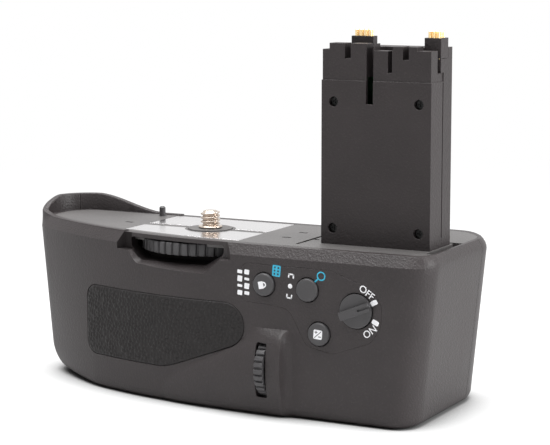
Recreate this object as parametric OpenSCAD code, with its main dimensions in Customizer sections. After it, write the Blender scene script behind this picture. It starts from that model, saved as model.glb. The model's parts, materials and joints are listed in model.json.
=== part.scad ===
// Battery grip that screws under an interchangeable-lens camera, as separate pieces.
// Origin: axis of the tripod socket at the base plane, in line with the attachment screw.
// +X points to the hand-grip end, +Y to the camera's front, +Z up to the camera. Millimetres.

/* [Body] */
// Length of the tray's end cap, from the body's left end to the first bay
end_cap = 13; // [12.5:0.5:16]
// Where the tray meets its dock, right of the screw axis
dock_at = 59.5; // [58:0.5:61]
// Reach of the body to the hand-grip end
body_right = 88; // [87:0.5:92]
// Reach of the flat rear wall behind the screw axis
rear_reach = 25; // [24.5:0.5:28]
// Reach of the front wall ahead of the screw axis
front_reach = 24; // [23:0.5:28]
// Reach of the hand-grip swell ahead of the screw axis
swell_reach = 35; // [32:0.5:40]
// Height of the deck above the base
deck_z = 53; // [52:0.5:57]
// Thickness of the moulded walls
wall = 2.4; // [2:0.1:2.8]
// Radius of the bow of the rear wall
rear_bow = 150; // [130:5:200]
// Draft of the left end over the full height
left_draft = 5.5; // [3:0.5:6]
// Draft of the right end over the full height
right_draft = 5.5; // [3:0.5:7]
// Rounding under the left end
left_round = 10; // [8:0.5:13]
// Rounding under the right end
right_round = 1; // [0.5:0.5:3]
// Rounding of the long bottom edges
foot_round = 3; // [2:0.5:4.5]
// Height of the bevel along the rear of the deck
bevel_h = 3.4; // [2:0.2:5]
// Depth of that bevel
bevel_d = 2.2; // [1:0.2:2.8]
// Depth of the rounded shoulder along the right end of the deck
shoulder_d = 2; // [1:0.2:2.4]
// How far behind the front wall the front cover meets the rear housing
seam_in = 5.8; // [5:0.2:6.2]

/* [Rim] */
// Peak height of the rim that wraps the camera's left end
rim_peak = 5.8; // [4:0.1:7]
// Height of the rim along its low rear run
rim_low = 0.4; // [0.3:0.1:1]
// Thickness of the rim
rim_t = 2.2; // [1.6:0.1:2.3]

/* [Thumb rest] */
// How far the thumb rest stands out from the rear wall
thumb_h = 4.7; // [3.5:0.1:5.5]
// Height where the thumb rest starts
thumb_top_z = 27.5; // [26:0.5:29]
// Height of its crest
thumb_peak_z = 14.7; // [13:0.1:16]
// Place of its steep right flank
thumb_ridge_x = 40; // [39.4:0.2:41]

/* [Deck] */
// Thickness of the deck plate
deck_t = 2.5; // [2.3:0.1:2.8]
// Thickness left over the attachment wheel
over_wheel = 1.4; // [1:0.1:1.6]
// Width of the moulded border round the deck plate
deck_border = 4.6; // [4.5:0.1:5.5]
// Width of the ledge that carries the deck plate
deck_ledge = 1.6; // [1:0.1:2]
// Thickness of the two smooth shoe plates
shoe_t = 0.5; // [0.3:0.1:0.8]
// Diameter of the locating pin
locator_d = 2.1; // [1.8:0.1:3]
// Height of the locating pin above the deck
locator_h = 3.3; // [2:0.1:4]

/* [Battery tower] */
// Width of the tower
tower_w = 36.5; // [34:0.5:37]
// Depth of the tower
tower_d = 16; // [15:0.5:18]
// Height of the tower above the deck
tower_h = 60; // [55:0.5:66]
// Centre of the tower along the body
tower_x = 63.4; // [62.5:0.1:64]
// Rear face of the tower behind the screw axis
tower_rear = 10.1; // [9:0.1:11]
// Depth of the tower's rear shell
tower_split = 9.2; // [8.5:0.1:10]
// Wall of the tower shells
tower_wall = 1.6; // [1.2:0.1:2]
// Diameter of the contact pins
pin_d = 0.9; // [0.6:0.1:1]
// Height of the contact pins above their blocks
pin_h = 2.2; // [1.5:0.1:3]

/* [Attachment] */
// Radius of the attachment wheel
wheel_r = 22.2; // [21.6:0.1:22.6]
// Thickness of the attachment wheel
wheel_t = 4; // [3:0.1:4.2]
// Number of ridges on the attachment wheel
wheel_ridges = 48; // [30:1:60]
// Diameter of the attachment screw's thread
screw_d = 6.35; // [6.35:0.01:9.5]
// Height of the thread above its collar
screw_h = 5; // [4:0.1:6]
// Bore of the tripod socket before tapping
socket_d = 5.3; // [5:0.1:7]
// Depth of the tripod socket
socket_depth = 4.4; // [3.5:0.1:4.5]

/* [Controls] */
// Diameter of the three round buttons
button_d = 7.2; // [6:0.1:8]
// Travel of the three round buttons
button_travel = 0.8; // [0.4:0.1:1]
// Diameter of the power knob
knob_d = 10.5; // [9:0.1:11.5]
// Radius of the command dial
dial_r = 9.5; // [9:0.1:10]
// Width of the command dial's rim
dial_w = 3; // [2.4:0.1:3.2]
// Number of ridges on the command dial
dial_ridges = 28; // [20:1:44]
// Diameter of the shutter button
shutter_d = 9; // [8:0.2:10]

/* [Battery tray] */
// Length of one battery bay
bay_l = 55.8; // [50:0.2:56]
// Height of the battery bays
bay_h = 38.4; // [34:0.2:39]
// Depth of the battery bays
bay_d = 20.6; // [18:0.2:21]
// Thickness of the tray's walls
tray_t = 1.2; // [1:0.1:1.4]
// Height of the runners under the tray
runner_h = 3; // [2.6:0.1:3.2]

/* [Fits] */
// Gap between fixed pieces that drop into each other
fit = 0.15; // [0.1:0.01:0.2]
// Gap round pieces that slide or turn in a moulded opening
run = 0.3; // [0.25:0.01:0.4]
// Radial clearance of pins and shafts
bore_fit = 0.05; // [0.03:0.01:0.08]

/* [Hidden] */
$fn = 48;
eps = 0.01;
big = 300;

// Heights that follow the deck
bevel_z = deck_z - bevel_h;
seam_y = front_reach - seam_in;
deck_under = deck_z - deck_t;
ledge_t = 2.2;
neck_z = deck_under - ledge_t;
wheel_roof = deck_z - over_wheel;
wheel_top = wheel_roof - run - 0.1;
wheel_bot = wheel_top - wheel_t;
clip_t = 0.6;
wheel_room = 0.4;

// Plan of the body: corner radii and the hand-grip swell
near_right_r = 9;
far_right_r = 16;
far_left_r = 14;
near_left_r = 11;
// The body's left end follows the bays and their walls
body_left = end_cap + 2 * bay_l + 3 * tray_t - dock_at;
// The rear wall is bowed over this length from the left end
bow_run = 83.7;
rear_flat_x = bow_run - body_left;
swell_x0 = 34;
swell_x1 = 57;
edge_break = 0.4;
bow_c = [rear_flat_x, rear_bow - rear_reach];
near_left_x = near_left_r - body_left;
near_left_c = [near_left_x,
    bow_c.y - sqrt(pow(rear_bow - near_left_r, 2) - pow(near_left_x - rear_flat_x, 2))];
bow_a = 360 + atan2(near_left_c.y - bow_c.y, near_left_c.x - bow_c.x);
thumb_flank = 3.2;

function lerp(a, b, t) = a + (b - a) * t;
function smooth(t) = let (u = min(1, max(0, t))) u * u * (3 - 2 * u);
function flip(v) = [for (i = [len(v) - 1:-1:0]) v[i]];
// Points of an arc with their outward normals: x, y, nx, ny
function arc(c, r, a0, a1, n) = [for (i = [0:n]) let (a = lerp(a0, a1, i / n))
    [c.x + r * cos(a), c.y + r * sin(a), cos(a), sin(a)]];
function flat(pts) = [for (p = pts) [p.x, p.y]];
// Hand-grip swell: smooth step from the front wall to the swell
function swell_pt(t) = let (
    rise = swell_reach - front_reach,
    slope = rise * 6 * t * (1 - t) / (swell_x1 - swell_x0),
    n = sqrt(1 + slope * slope))
    [lerp(swell_x0, swell_x1, t), front_reach + rise * smooth(t), -slope / n, 1 / n];

thumb_steps = 10;
outline = concat(
    arc([body_right - near_right_r, near_right_r - rear_reach], near_right_r, -90, 0, 6),
    arc([body_right - far_right_r, swell_reach - far_right_r], far_right_r, 0, 90, 9),
    [[lerp(swell_x1, body_right - far_right_r, 0.5), swell_reach, 0, 1]],
    [for (i = [10:-1:0]) swell_pt(i / 10)],
    [for (i = [1:11]) [lerp(swell_x0, far_left_r - body_left, i / 12), front_reach, 0, 1]],
    arc([far_left_r - body_left, front_reach - far_left_r], far_left_r, 90, 180, 9),
    arc(near_left_c, near_left_r, 180, bow_a, 7),
    [for (p = arc(bow_c, rear_bow, bow_a, 270, 12)) if (p.x > near_left_x - 4) p],
    [for (i = [1:thumb_steps]) [lerp(rear_flat_x, thumb_ridge_x, i / thumb_steps), -rear_reach, 0, -1]],
    [for (t = [0.3, 0.65, 1, 2]) [thumb_ridge_x + thumb_flank * t, -rear_reach, 0, -1]]);

// Insets of the outer skin at a height
function quarter(z, r) = z < r ? r - sqrt(max(0, r * r - pow(r - max(0, z), 2))) : 0;
function bevel_in(z, nx, ny) = z > bevel_z
    ? let (t = (z - bevel_z) / bevel_h)
        edge_break * t + max((bevel_d - edge_break) * t * smooth((-ny - 0.4) / 0.5),
            (shoulder_d - edge_break) * t * t * smooth((nx - 0.2) / 0.6)) : 0;
// The ends lean in and round under over a stretch of the body's length
end_run = 34;
function end_in(z, x) =
    (left_draft * (1 - z / deck_z) + quarter(z, left_round)) * max(0, 1 - (x + body_left) / end_run)
    - (right_draft * (1 - z / deck_z) + quarter(z, right_round)) * max(0, 1 - (body_right - x) / end_run);
// Rise of the thumb rest over the rear wall
function thumb_left(z) = lerp(-4, 28, smooth((z - 4) / (thumb_top_z - 4)));
function thumb_rise(z) = z > thumb_peak_z
    ? let (t = max(0, (thumb_top_z - z) / (thumb_top_z - thumb_peak_z))) 1 - pow(1 - min(1, t), 1.7)
    : 1 - 0.6 * smooth((thumb_peak_z - z) / thumb_peak_z);
function thumb_lean(t) = (max(0, t) + smooth(t)) / 2;
function thumb(x, z) = x > thumb_ridge_x
    ? thumb_h * thumb_rise(z) * pow(max(0, 1 - (x - thumb_ridge_x) / thumb_flank), 2)
    : thumb_h * thumb_rise(z) * thumb_lean((x - thumb_left(z)) / (thumb_ridge_x - thumb_left(z)));
// A point of the skin at height z, set in by t
function skin(p, z, t) = let (
    n = t + quarter(z, foot_round) + bevel_in(z, p[2], p[3]),
    out = t == 0 && p[3] < -0.9 ? thumb(p.x, z) : 0)
    [p.x - p[2] * n + end_in(z, p.x), p.y - p[3] * n - out, z];
function plan(t) = [for (p = outline) [p.x - p[2] * t, p.y - p[3] * t]];
// Deck opening: a narrower border at the hand-grip end, where the tower stands
function border(p, t) = t - (deck_border - 3) * max(0, p[2], p[3]);
function deck_plan(t) = [for (p = outline)
    let (b = border(p, t)) [p.x - p[2] * b, p.y - p[3] * b]];

// Loft through rings of the body, closed by fans about a point inside every ring
loft_hub = [swell_x0 + 6, 0];
module ring_loft(rings) {
    n = len(rings[0]);
    m = len(rings);
    low = n * m;
    high = low + 1;
    polyhedron(
        points = concat([for (r = rings) each r],
            [[loft_hub.x, loft_hub.y, rings[0][0].z], [loft_hub.x, loft_hub.y, rings[m - 1][0].z]]),
        faces = concat(
            [for (i = [0:n - 1]) [low, i, (i + 1) % n]],
            [for (i = [0:n - 1]) [high, (m - 1) * n + (i + 1) % n, (m - 1) * n + i]],
            [for (k = [0:m - 2]) for (i = [0:n - 1])
                [k * n + i, (k + 1) * n + i, (k + 1) * n + (i + 1) % n]],
            [for (k = [0:m - 2]) for (i = [0:n - 1])
                [k * n + i, (k + 1) * n + (i + 1) % n, k * n + (i + 1) % n]]));
}

// Heights of the skin's rings: close together in the roundings and the thumb rest
skin_zs = [0, 0.5, 1.5, foot_round, 6, 9, left_round + 1, thumb_peak_z, 18.5, 22, 25,
    thumb_top_z, bevel_z, bevel_z + bevel_h * 0.6, deck_z];

module body_skin() {
    ring_loft([for (z = skin_zs) [for (p = outline) skin(p, z, 0)]]);
}

module body_hollow() {
    ring_loft([for (z = [wall, wall + 4, left_round + wall, neck_z])
        [for (p = outline) skin(p, min(z, bevel_z), wall) + [0, 0, max(0, z - bevel_z)]]]);
}

// Box from corner to corner
module span(a, b) {
    translate(a) cube(b - a);
}

// Cylinders along X and Y from a to b
module rod_x(y, z, r, a, b) {
    translate([a, y, z]) rotate([0, 90, 0]) cylinder(r = r, h = b - a);
}
module rod_y(x, z, r, a, b) {
    translate([x, a, z]) rotate([-90, 0, 0]) cylinder(r = r, h = b - a);
}
module rod_z(x, y, r, a, b) {
    translate([x, y, a]) cylinder(r = r, h = b - a);
}
// Outline in the XZ plane drawn from y = a to y = b
module slab_y(pts, a, b) {
    translate([0, b, 0]) rotate([90, 0, 0]) linear_extrude(b - a) polygon(pts);
}

// Rim round the camera's left end: its height runs with the place on the outline
rim_x = -22;
function rim_h(p) = p[3] > 0.2
    ? lerp(rim_low, rim_peak, smooth((-30 - p.x) / 28))
    : lerp(rim_low, rim_peak, smooth((p.y + 6) / 20));
module rim() {
    line = [for (p = outline) if (p.x < rim_x) p];
    n = len(line);
    sect = [for (p = line) let (b = bevel_in(deck_z, p[2], p[3]), h = rim_h(p)) [
        [p.x - p[2] * b, p.y - p[3] * b, deck_z - 0.6],
        [p.x - p[2] * b, p.y - p[3] * b, deck_z + h],
        [p.x - p[2] * (b + rim_t), p.y - p[3] * (b + rim_t), deck_z + h],
        [p.x - p[2] * (b + rim_t), p.y - p[3] * (b + rim_t), deck_z - 0.6]]];
    polyhedron(
        points = [for (s = sect) each s],
        faces = concat([[3, 2, 1, 0], [for (j = [0:3]) (n - 1) * 4 + j]],
            [for (i = [0:n - 2]) for (j = [0:3])
                [i * 4 + j, (i + 1) * 4 + (j + 1) % 4, (i + 1) * 4 + j]],
            [for (i = [0:n - 2]) for (j = [0:3])
                [i * 4 + j, i * 4 + (j + 1) % 4, (i + 1) * 4 + (j + 1) % 4]]));
}

// Tray channel in the body
tray_room = 1.2;
tray_y1 = front_reach - wall - tray_room;
tray_y0 = tray_y1 - tray_t - bay_d;
tray_z0 = wall + runner_h;
tray_z1 = tray_z0 + tray_t + bay_h;
cap_in = -body_left + end_cap;
bay_x0 = cap_in + tray_t;
bay_x1 = bay_x0 + bay_l;
bay_x2 = bay_x1 + tray_t;
bay_x3 = bay_x2 + bay_l;
tray_end = bay_x3 + tray_t;
key_y = tray_y0 + 10.4;
key_z = 36;

// Scoop for the finger that turns the attachment wheel
scoop_top_w = [-21, 18.5];
scoop_low_w = [-17, 12];
scoop_z = deck_z - 10.2;
scoop_rim = 2.4;
scoop_back = -13;
function scoop_pts(g) = [[scoop_top_w[0] + g, wheel_roof + 0.1], [scoop_top_w[0] + g, bevel_z - 1],
    [scoop_low_w[0] + g, scoop_z + g * 0.7], [scoop_low_w[1] - g, scoop_z + g * 0.7],
    [scoop_top_w[1] - g, bevel_z - 1], [scoop_top_w[1] - g, wheel_roof + 0.1]];
module scoop() {
    hull() {
        slab_y(scoop_pts(0), -rear_reach - 6, -rear_reach + 1.4);
        slab_y(scoop_pts(scoop_rim), -rear_reach - 6, -rear_reach + 5);
    }
    slab_y(scoop_pts(scoop_rim), -rear_reach - 6, scoop_back);
    rod_z(0, 0, wheel_r + wheel_room, wheel_bot - run, wheel_roof);
    // Upright face over the wheel in place of the bevel
    difference() {
        span([scoop_top_w[0], -rear_reach - 6, bevel_z - 2], [scoop_top_w[1], -10, deck_z + 1]);
        translate([0, 0, bevel_z - 3]) linear_extrude(big) polygon(plan(bevel_d + 0.1));
    }
}
module scoop_block() {
    span([scoop_top_w[0] - 3, -rear_reach - 3, scoop_z - 2], [scoop_top_w[1] + 3, scoop_back + 1.6, neck_z + 1]);
}

// Places on the rear wall: x, z
lock_at = [33, 41.1];
focus_at = [47.9, 40.6];
exposure_at = [51.9, 27.3];
knob_at = [64.3, 35.5];
buttons_at = [lock_at, focus_at, exposure_at];
rear_in = -rear_reach + wall;
board_y = rear_in + 6.5;
board_t = 1.4;
post_at = [[40.5, 46], [58.5, 21], [74, 30]];
dial_x = 33.5;
dial_z = thumb_peak_z;
dial_proud = 0.9;
dial_y = -rear_reach - thumb_h - dial_proud + dial_r;
dial_slot = 4;
slot_half = 8.6;
eye_r = 2.2;
axle_r = 1.5;

// Palm pad: outline on the rear wall and the strip of wall behind it
pad_x = [-33.7, 25.9];
pad_z = [11.4, 34.3];
pad_corner = 4.5;
pad_lobe = 7.2;
pad_low_x = -3;
pad_out = 0.5;
pad_sunk = 0.9;
pad_diag = -70;
function pad_pts(g) = flat(concat(
    arc([pad_x[1] - pad_lobe, pad_z[1] - pad_lobe], pad_lobe - g, pad_diag, 90, 10),
    arc([pad_x[0] + pad_corner, pad_z[1] - pad_corner], pad_corner - g, 90, 180, 6),
    arc([pad_x[0] + pad_corner, pad_z[0] + pad_corner], pad_corner - g, 180, 270, 6),
    [for (q = [[-2.6, 0], [0, 0.45], [2.5, 0.95]]) [pad_low_x + q.x, pad_z[0] + g + q.y]]));
rear_line = [for (p = outline) if (p[3] < -0.85 && p.x > -46 && p.x < 44) p];
function strip(line, t0, t1) = concat(
    [for (p = line) [p.x - p[2] * t0, p.y - p[3] * t0]],
    flip([for (p = line) [p.x - p[2] * t1, p.y - p[3] * t1]]));
module pad_form(g, t0, t1) {
    intersection() {
        linear_extrude(deck_z) polygon(strip(rear_line, t0, t1));
        slab_y(pad_pts(g), -rear_reach - 8, 10);
    }
}

// Front grip rubber over the swell
grip_z = [9, 45];
grip_x1 = 64;
front_line = [for (p = outline) if (p[3] > 0.85 && p.x > swell_x0 - 2 && p.x < grip_x1 + 2) p];
module grip_form(g, t0, t1) {
    intersection() {
        linear_extrude(deck_z) polygon(strip(front_line, t0, t1));
        span([swell_x0 + g, 0, grip_z[0] + g], [grip_x1 - g, big, grip_z[1] - g]);
    }
}

// Shutter release on the front corner of the hand grip
shutter_a = 80;
shutter_z = 34;
shutter_c = [body_right - far_right_r, swell_reach - far_right_r];
shutter_at = [shutter_c.x + far_right_r * cos(shutter_a), shutter_c.y + far_right_r * sin(shutter_a)];
collar_r = shutter_d / 2 + 2;
// Draws its children with +Z leaving the corner of the grip
module on_shutter() {
    translate([shutter_at.x, shutter_at.y, shutter_z]) rotate([0, 90, shutter_a]) children();
}

// Places in plan
locator_at = [-29, front_reach - 5.9];
root_w = 0.3;
small_slots = [[-31.3, 0.5], [30.8, -5.5], [31.1, 5.6]];
slot_size = [3.1, 1.4];
base_screws_at = [[-26, front_reach / 2], [-22, -8], [24, -17], [60, -14]];
tower_l = tower_x - tower_w / 2;
tower_r = tower_x + tower_w / 2;
tower_y0 = -tower_rear;
tower_y1 = tower_y0 + tower_d;
tower_ys = tower_y0 + tower_split;
base_l = tower_l - 6;
base_y0 = -16.2;
base_y1 = tower_y1 + 2.4;
base_t = 1.4;
base_gap = 0.6;
socket_boss = 6.5;
socket_flange = 10;

// Casing shell without the stretch from y0 to y1
module shell(y0, y1) {
    difference() {
        union() {
            difference() {
                body_skin();
                difference() {
                    body_hollow();
                    scoop_block();
                    shell_bosses();
                }
                translate([0, 0, neck_z - 1]) linear_extrude(big)
                    polygon(deck_plan(deck_border + deck_ledge));
                translate([0, 0, deck_under]) linear_extrude(big) polygon(deck_plan(deck_border));
            }
            rim();
        }
        scoop();
        // Openings of the rear wall
        for (b = buttons_at) rod_y(b.x, b.y, button_d / 2 + run, -rear_reach - 8, rear_in + 2);
        rod_y(knob_at.x, knob_at.y, knob_d / 2 + run, -rear_reach - 8, rear_in + 2);
        rod_x(dial_y, dial_z, dial_r + run, dial_x - dial_slot / 2, dial_x + dial_slot / 2);
        span([dial_x - dial_slot / 2 + 0.01, -big, dial_z - slot_half],
            [dial_x + dial_slot / 2 - 0.01, -rear_reach + 1, dial_z + slot_half]);
        span([dial_x - cheek_gap - cheek_t - 0.8, dial_y - eye_r - fit, dial_z - 4],
            [dial_x + cheek_gap + cheek_t + 0.8, rear_in + 1, dial_z + 5]);
        pad_form(-fit, -6, pad_sunk);
        // Seats of the shoe plates, the tower's foot and the tripod socket
        shoe_seat();
        span([base_l, base_y0, deck_z - base_t], [tower_r + 0.6, base_y1, deck_z + 1]);
        rod_z(0, 0, socket_boss + fit, -1, wall + 1);
        for (s = base_screws_at) rod_z(s.x, s.y, 2.2 + fit, -1, 1.4);
        // Left end opening for the battery tray
        span([-big, tray_y0 - run, tray_z0 - run], [cap_in + 7, tray_y1 + run, tray_z1 + run]);
        // Front side: grip rubber and shutter release
        grip_form(-fit, -6, pad_sunk);
        on_shutter() translate([0, 0, -2.2]) cylinder(r = collar_r + fit, h = 8);
        on_shutter() translate([0, 0, -10]) cylinder(r = shutter_d / 2 + 1, h = 12);
        span([-big, y0, -big], [big, y1, big]);
    }
}

// Moulded inside the shell: tray runners, posts of the control board, screw pillars
module shell_bosses() {
    difference() {
        for (y = [tray_y0 + 1, tray_y0 + 12.4]) span([cap_in + 8, y, 0], [tray_end, y + 2, tray_z0 - fit]);
        rod_z(0, 0, socket_flange + fit, -1, big);
    }
    for (p = post_at) rod_y(p.x, p.y, 2.2, -rear_reach - 2, board_y - eps);
    for (s = base_screws_at) rod_z(s.x, s.y, 3.4, 0, tray_z0 - 1.2);
    on_shutter() translate([0, 0, -7]) cylinder(r = collar_r + 1.6, h = 8);
}

module shoe_seat() {
    translate([0, 0, deck_z - shoe_t]) linear_extrude(big) {
        polygon(shoe_pts(0, -1, shoe_rear_y));
        polygon(shoe_pts(0, 1, shoe_front_y));
    }
}

// Smooth shoe plates either side of the screw, cut round its ring
shoe_x = [-24.3, 20.5];
shoe_rear_y = -1.6;
shoe_front_y = 1.8;
shoe_far_y = 20.5;
ring_r = 7.2;
notch_r = ring_r + 0.9;
shoe_line = [for (p = outline) if (p[3] < -0.85 && p.x > shoe_x[0] && p.x < shoe_x[1]) p];
function shoe_notch(y, side, r) = [for (i = [0:8])
    let (h = acos(abs(y) / r), a = lerp(-h, h, i / 8)) [side * r * sin(a), side * r * cos(a)]];
function shoe_pts(g, side, y) = side < 0
    ? concat(
        [for (p = shoe_line) let (t = bevel_d + 0.1) [p.x - p[2] * t, p.y - p[3] * t + g]],
        [[shoe_x[1] - g, -rear_reach + bevel_d + 0.1 + g], [shoe_x[1] - g, y - g]],
        shoe_notch(y - g, -1, notch_r + g),
        [[shoe_x[0] + g, y - g], [shoe_x[0] + g, shoe_line[0].y + bevel_d + 1.6]])
    : concat(
        [[shoe_x[1] - g, shoe_far_y - g], [shoe_x[0] + g, shoe_far_y - g], [shoe_x[0] + g, y + g]],
        shoe_notch(y + g, 1, notch_r + g),
        [[shoe_x[1] - g, y + g]]);

// Casing

module rear_housing() {
    color("dimgray") shell(seam_y, big);
}

module front_cover() {
    color("gray") shell(-big, seam_y + fit);
}

module deck_plate() {
    color("darkgray") difference() {
        translate([0, 0, deck_under]) linear_extrude(deck_t) polygon(deck_plan(deck_border + fit));
        rod_z(0, 0, wheel_r + wheel_room, 0, wheel_roof);
        rod_z(0, 0, bush_r + fit, 0, big);
        rod_z(0, 0, ring_r + fit, deck_z - ring_t, big);
        shoe_seat();
        for (s = small_slots)
            span([s.x - slot_size.x / 2, s.y - slot_size.y / 2, 0], [s.x + slot_size.x / 2, s.y + slot_size.y / 2, big]);
        rod_z(locator_at.x, locator_at.y, locator_d / 2 + root_w + fit, 0, big);
        span([base_l, base_y0, deck_z - base_t], [big, base_y1, big]);
        span([tower_l + 4, tower_y0 + 3, 0], [tower_r - 4, tower_y1 - 3, big]);
    }
}

module rear_shoe_plate() {
    color("gainsboro") translate([0, 0, deck_z - shoe_t]) linear_extrude(shoe_t)
        polygon(shoe_pts(fit, -1, shoe_rear_y));
}

module front_shoe_plate() {
    color("gainsboro") translate([0, 0, deck_z - shoe_t]) linear_extrude(shoe_t)
        polygon(shoe_pts(fit, 1, shoe_front_y));
}

module locating_pin() {
    color("black") {
        rod_z(locator_at.x, locator_at.y, locator_d / 2 + root_w, deck_under, deck_z);
        rod_z(locator_at.x, locator_at.y, locator_d / 2, deck_z, deck_z + locator_h - 0.4);
        translate([locator_at.x, locator_at.y, deck_z + locator_h - 0.4])
            cylinder(r1 = locator_d / 2, r2 = locator_d / 2 - 0.4, h = 0.4);
    }
}

module housing_screws() {
    color("silver") for (s = base_screws_at) translate([s.x, s.y, 0]) difference() {
        translate([0, 0, 0.3]) cylinder(r = 2.2, h = 1.1);
        translate([0, 0, 0.2]) span([-1.3, -0.3, 0], [1.3, 0.3, 0.6]);
        translate([0, 0, 0.2]) span([-0.3, -1.3, 0], [0.3, 1.3, 0.6]);
    }
}

module tripod_socket() {
    color("silver") difference() {
        union() {
            rod_z(0, 0, socket_boss, 0, wall);
            rod_z(0, 0, socket_flange, wall, tray_z0 - 0.5);
        }
        rod_z(0, 0, socket_d / 2, -1, socket_depth);
    }
}

module palm_pad() {
    color("black") pad_form(0, -pad_out, pad_sunk - fit);
}

module front_grip() {
    color("black") grip_form(0, -pad_out, pad_sunk - fit);
}

// Battery tower

base_sunk = 0.2;
tower_z0 = deck_z - base_sunk;
tower_top = deck_z + tower_h;
step_z = tower_top - 6.8;
lip_d = 5.1;
groove_w = 2;
// Top edge of the rear shell: pairs of place and height over the tower's nominal top
function top_edge() = [[tower_w / 2, 0], [13.4, 0], [13.4, 1.2], [5.5, 1.2], [5.5, -0.2],
    [-0.9, -0.2], [-0.9, 1.9], [-15.7, 1.9], [-15.7, 0], [-tower_w / 2, 0]];
function tower_face(low) = concat(
    [[tower_l, low], [tower_r, low]],
    [for (p = top_edge()) [tower_x + p.x, tower_top + p.y]]);
tower_screw_at = [[-14.2, tower_h - 16], [14.2, tower_h - 16], [-14.4, 4.8], [14.4, 4.8]];
screw_head_r = 1.4;
screw_shank_r = 0.7;
screw_boss_r = 2.6;
// Key slots of the rear face: left, right, low and top from the tower's nominal top
key_slots = [[-10.6, -8.5, -2.8, 6], [-3.3, -0.95, -16.5, 6], [3.8, 5.2, -6.8, 6], [8.7, 10.7, -2.8, 6]];

module tower_base() {
    color("dimgray") difference() {
        span([base_l + base_gap, base_y0 + base_gap, deck_z - base_t],
            [tower_r + 0.3, base_y1 - base_gap, tower_z0]);
        span([tower_l + 4, tower_y0 + 3, 0], [tower_r - 4, tower_y1 - 3, big]);
        span([tower_l - 5.2, -5, deck_z - base_t + 0.4], [tower_l - 3.4, -3.4, big]);
    }
}

lead_z = tower_top - 9.4;
lead_d = 0.25;
relief = 0.4;
relief_w = 0.5;
module tower_rear_shell() {
    color("dimgray") difference() {
        union() {
            difference() {
                slab_y(tower_face(tower_z0), tower_y0, tower_ys);
                span([tower_l + tower_wall, tower_y0 + tower_wall, tower_z0 + tower_wall],
                    [tower_r - tower_wall, tower_ys + 1, step_z - tower_wall]);
                span([tower_l - 1, tower_y0 + lip_d, step_z], [tower_r + 1, tower_ys + 1, big]);
                span([tower_l + 4, tower_y0 + 3, 0], [tower_r - 4, tower_y1 - 3, tower_z0 + 4]);
            }
            for (s = tower_screw_at)
                rod_y(tower_x + s.x, deck_z + s.y, screw_boss_r, tower_y0 + tower_wall / 2, tower_ys);
        }
        for (s = tower_screw_at) {
            rod_y(tower_x + s.x, deck_z + s.y, screw_head_r + fit, tower_y0 - 1, tower_y0 + 3);
            rod_y(tower_x + s.x, deck_z + s.y, screw_shank_r + fit, tower_y0, tower_ys + 1);
        }
        for (k = key_slots)
            span([tower_x + k[0], tower_y0 - 1, tower_top + k[2]], [tower_x + k[1], tower_y0 + lip_d + 1, tower_top + k[3]]);
        // Lead-in step round the top and relief along the joint with the front half
        span([tower_l - 1, tower_y0 - 1, lead_z], [tower_r + 1, tower_y0 + lead_d, big]);
        for (x = [tower_l, tower_r]) {
            span([x - lead_d, tower_y0 - 1, lead_z], [x + lead_d, tower_ys + 1, big]);
            span([x - relief, tower_ys - relief_w, tower_z0 + 3], [x + relief, tower_ys + 1, step_z - 3]);
        }
    }
}

module tower_front_shell() {
    color("gray") difference() {
        union() {
            difference() {
                union() {
                    span([tower_l, tower_ys + 0.1, tower_z0], [tower_r, tower_y1, step_z + 0.5]);
                    span([tower_l, tower_y0 + lip_d + groove_w, step_z + 0.1], [tower_r, tower_y1, tower_top + 0.8]);
                }
                span([tower_l + tower_wall, tower_ys - 5, tower_z0 + tower_wall],
                    [tower_r - tower_wall, tower_y1 - tower_wall, step_z + 0.1]);
                span([tower_l + tower_wall, tower_y0 + lip_d + groove_w + tower_wall, step_z - 1],
                    [tower_r - tower_wall, tower_y1 - tower_wall, tower_top - 1]);
                span([tower_l + 4, tower_y0 + 3, 0], [tower_r - 4, tower_y1 - 3, tower_z0 + 4]);
            }
            for (s = tower_screw_at)
                rod_y(tower_x + s.x, deck_z + s.y, screw_boss_r, tower_ys + 0.1, tower_y1 - tower_wall / 2);
        }
        for (s = tower_screw_at)
            rod_y(tower_x + s.x, deck_z + s.y, screw_shank_r + bore_fit, tower_ys - 1, tower_y1 - tower_wall);
        for (b = [block_left, block_right]) {
            span([b[0] - fit, b[2] - fit, block_low - block_foot - 0.1], [b[1] + fit, b[3] + fit, big]);
            // Room for the pins to travel down inside the wall
            span([b[0], b[2] + run, block_low - block_foot - pin_foot - pin_stroke - run],
                [min(b[1], tower_r - 0.6), b[3], block_low]);
        }
    }
}

module tower_screws() {
    color("silver") for (s = tower_screw_at) difference() {
        union() {
            rod_y(tower_x + s.x, deck_z + s.y, screw_head_r, tower_y0 + 1.6, tower_y0 + 3);
            rod_y(tower_x + s.x, deck_z + s.y, screw_shank_r, tower_y0 + 3, tower_y1 - tower_wall - 0.6);
        }
        translate([tower_x + s.x, tower_y0 + 1.6, deck_z + s.y]) span([-0.8, -1, -0.2], [0.8, 0.5, 0.2]);
        translate([tower_x + s.x, tower_y0 + 1.6, deck_z + s.y]) span([-0.2, -1, -0.8], [0.2, 0.5, 0.8]);
    }
}

// Contact blocks: x from, x to, y from, y to
block_top = tower_top + 3.7;
block_low = tower_top - 1;
block_foot = 1.4;
block_left = [tower_x - 13.2, tower_x - 5.8, 0.6, 3.6];
block_right = [tower_r - 5.4, tower_r, tower_y0 + lip_d + groove_w, tower_y0 + lip_d + groove_w + 5.6];
pin_stroke = 1;
pin_foot = 0.6;
pin_edge = 0.5;
pin_cols = 4;
function pin_at(b, n, rows) = [for (i = [0:n - 1]) for (j = [0:rows - 1])
    [lerp(b[0] + pin_edge, b[1] - pin_edge, (i + 0.5) / n), lerp(b[2] + run, b[3] - run, (j + 0.5) / rows)]];
pins_left = pin_at(block_left, pin_cols, 2);
pins_right = pin_at(block_right, pin_cols - 1, 3);

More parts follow.
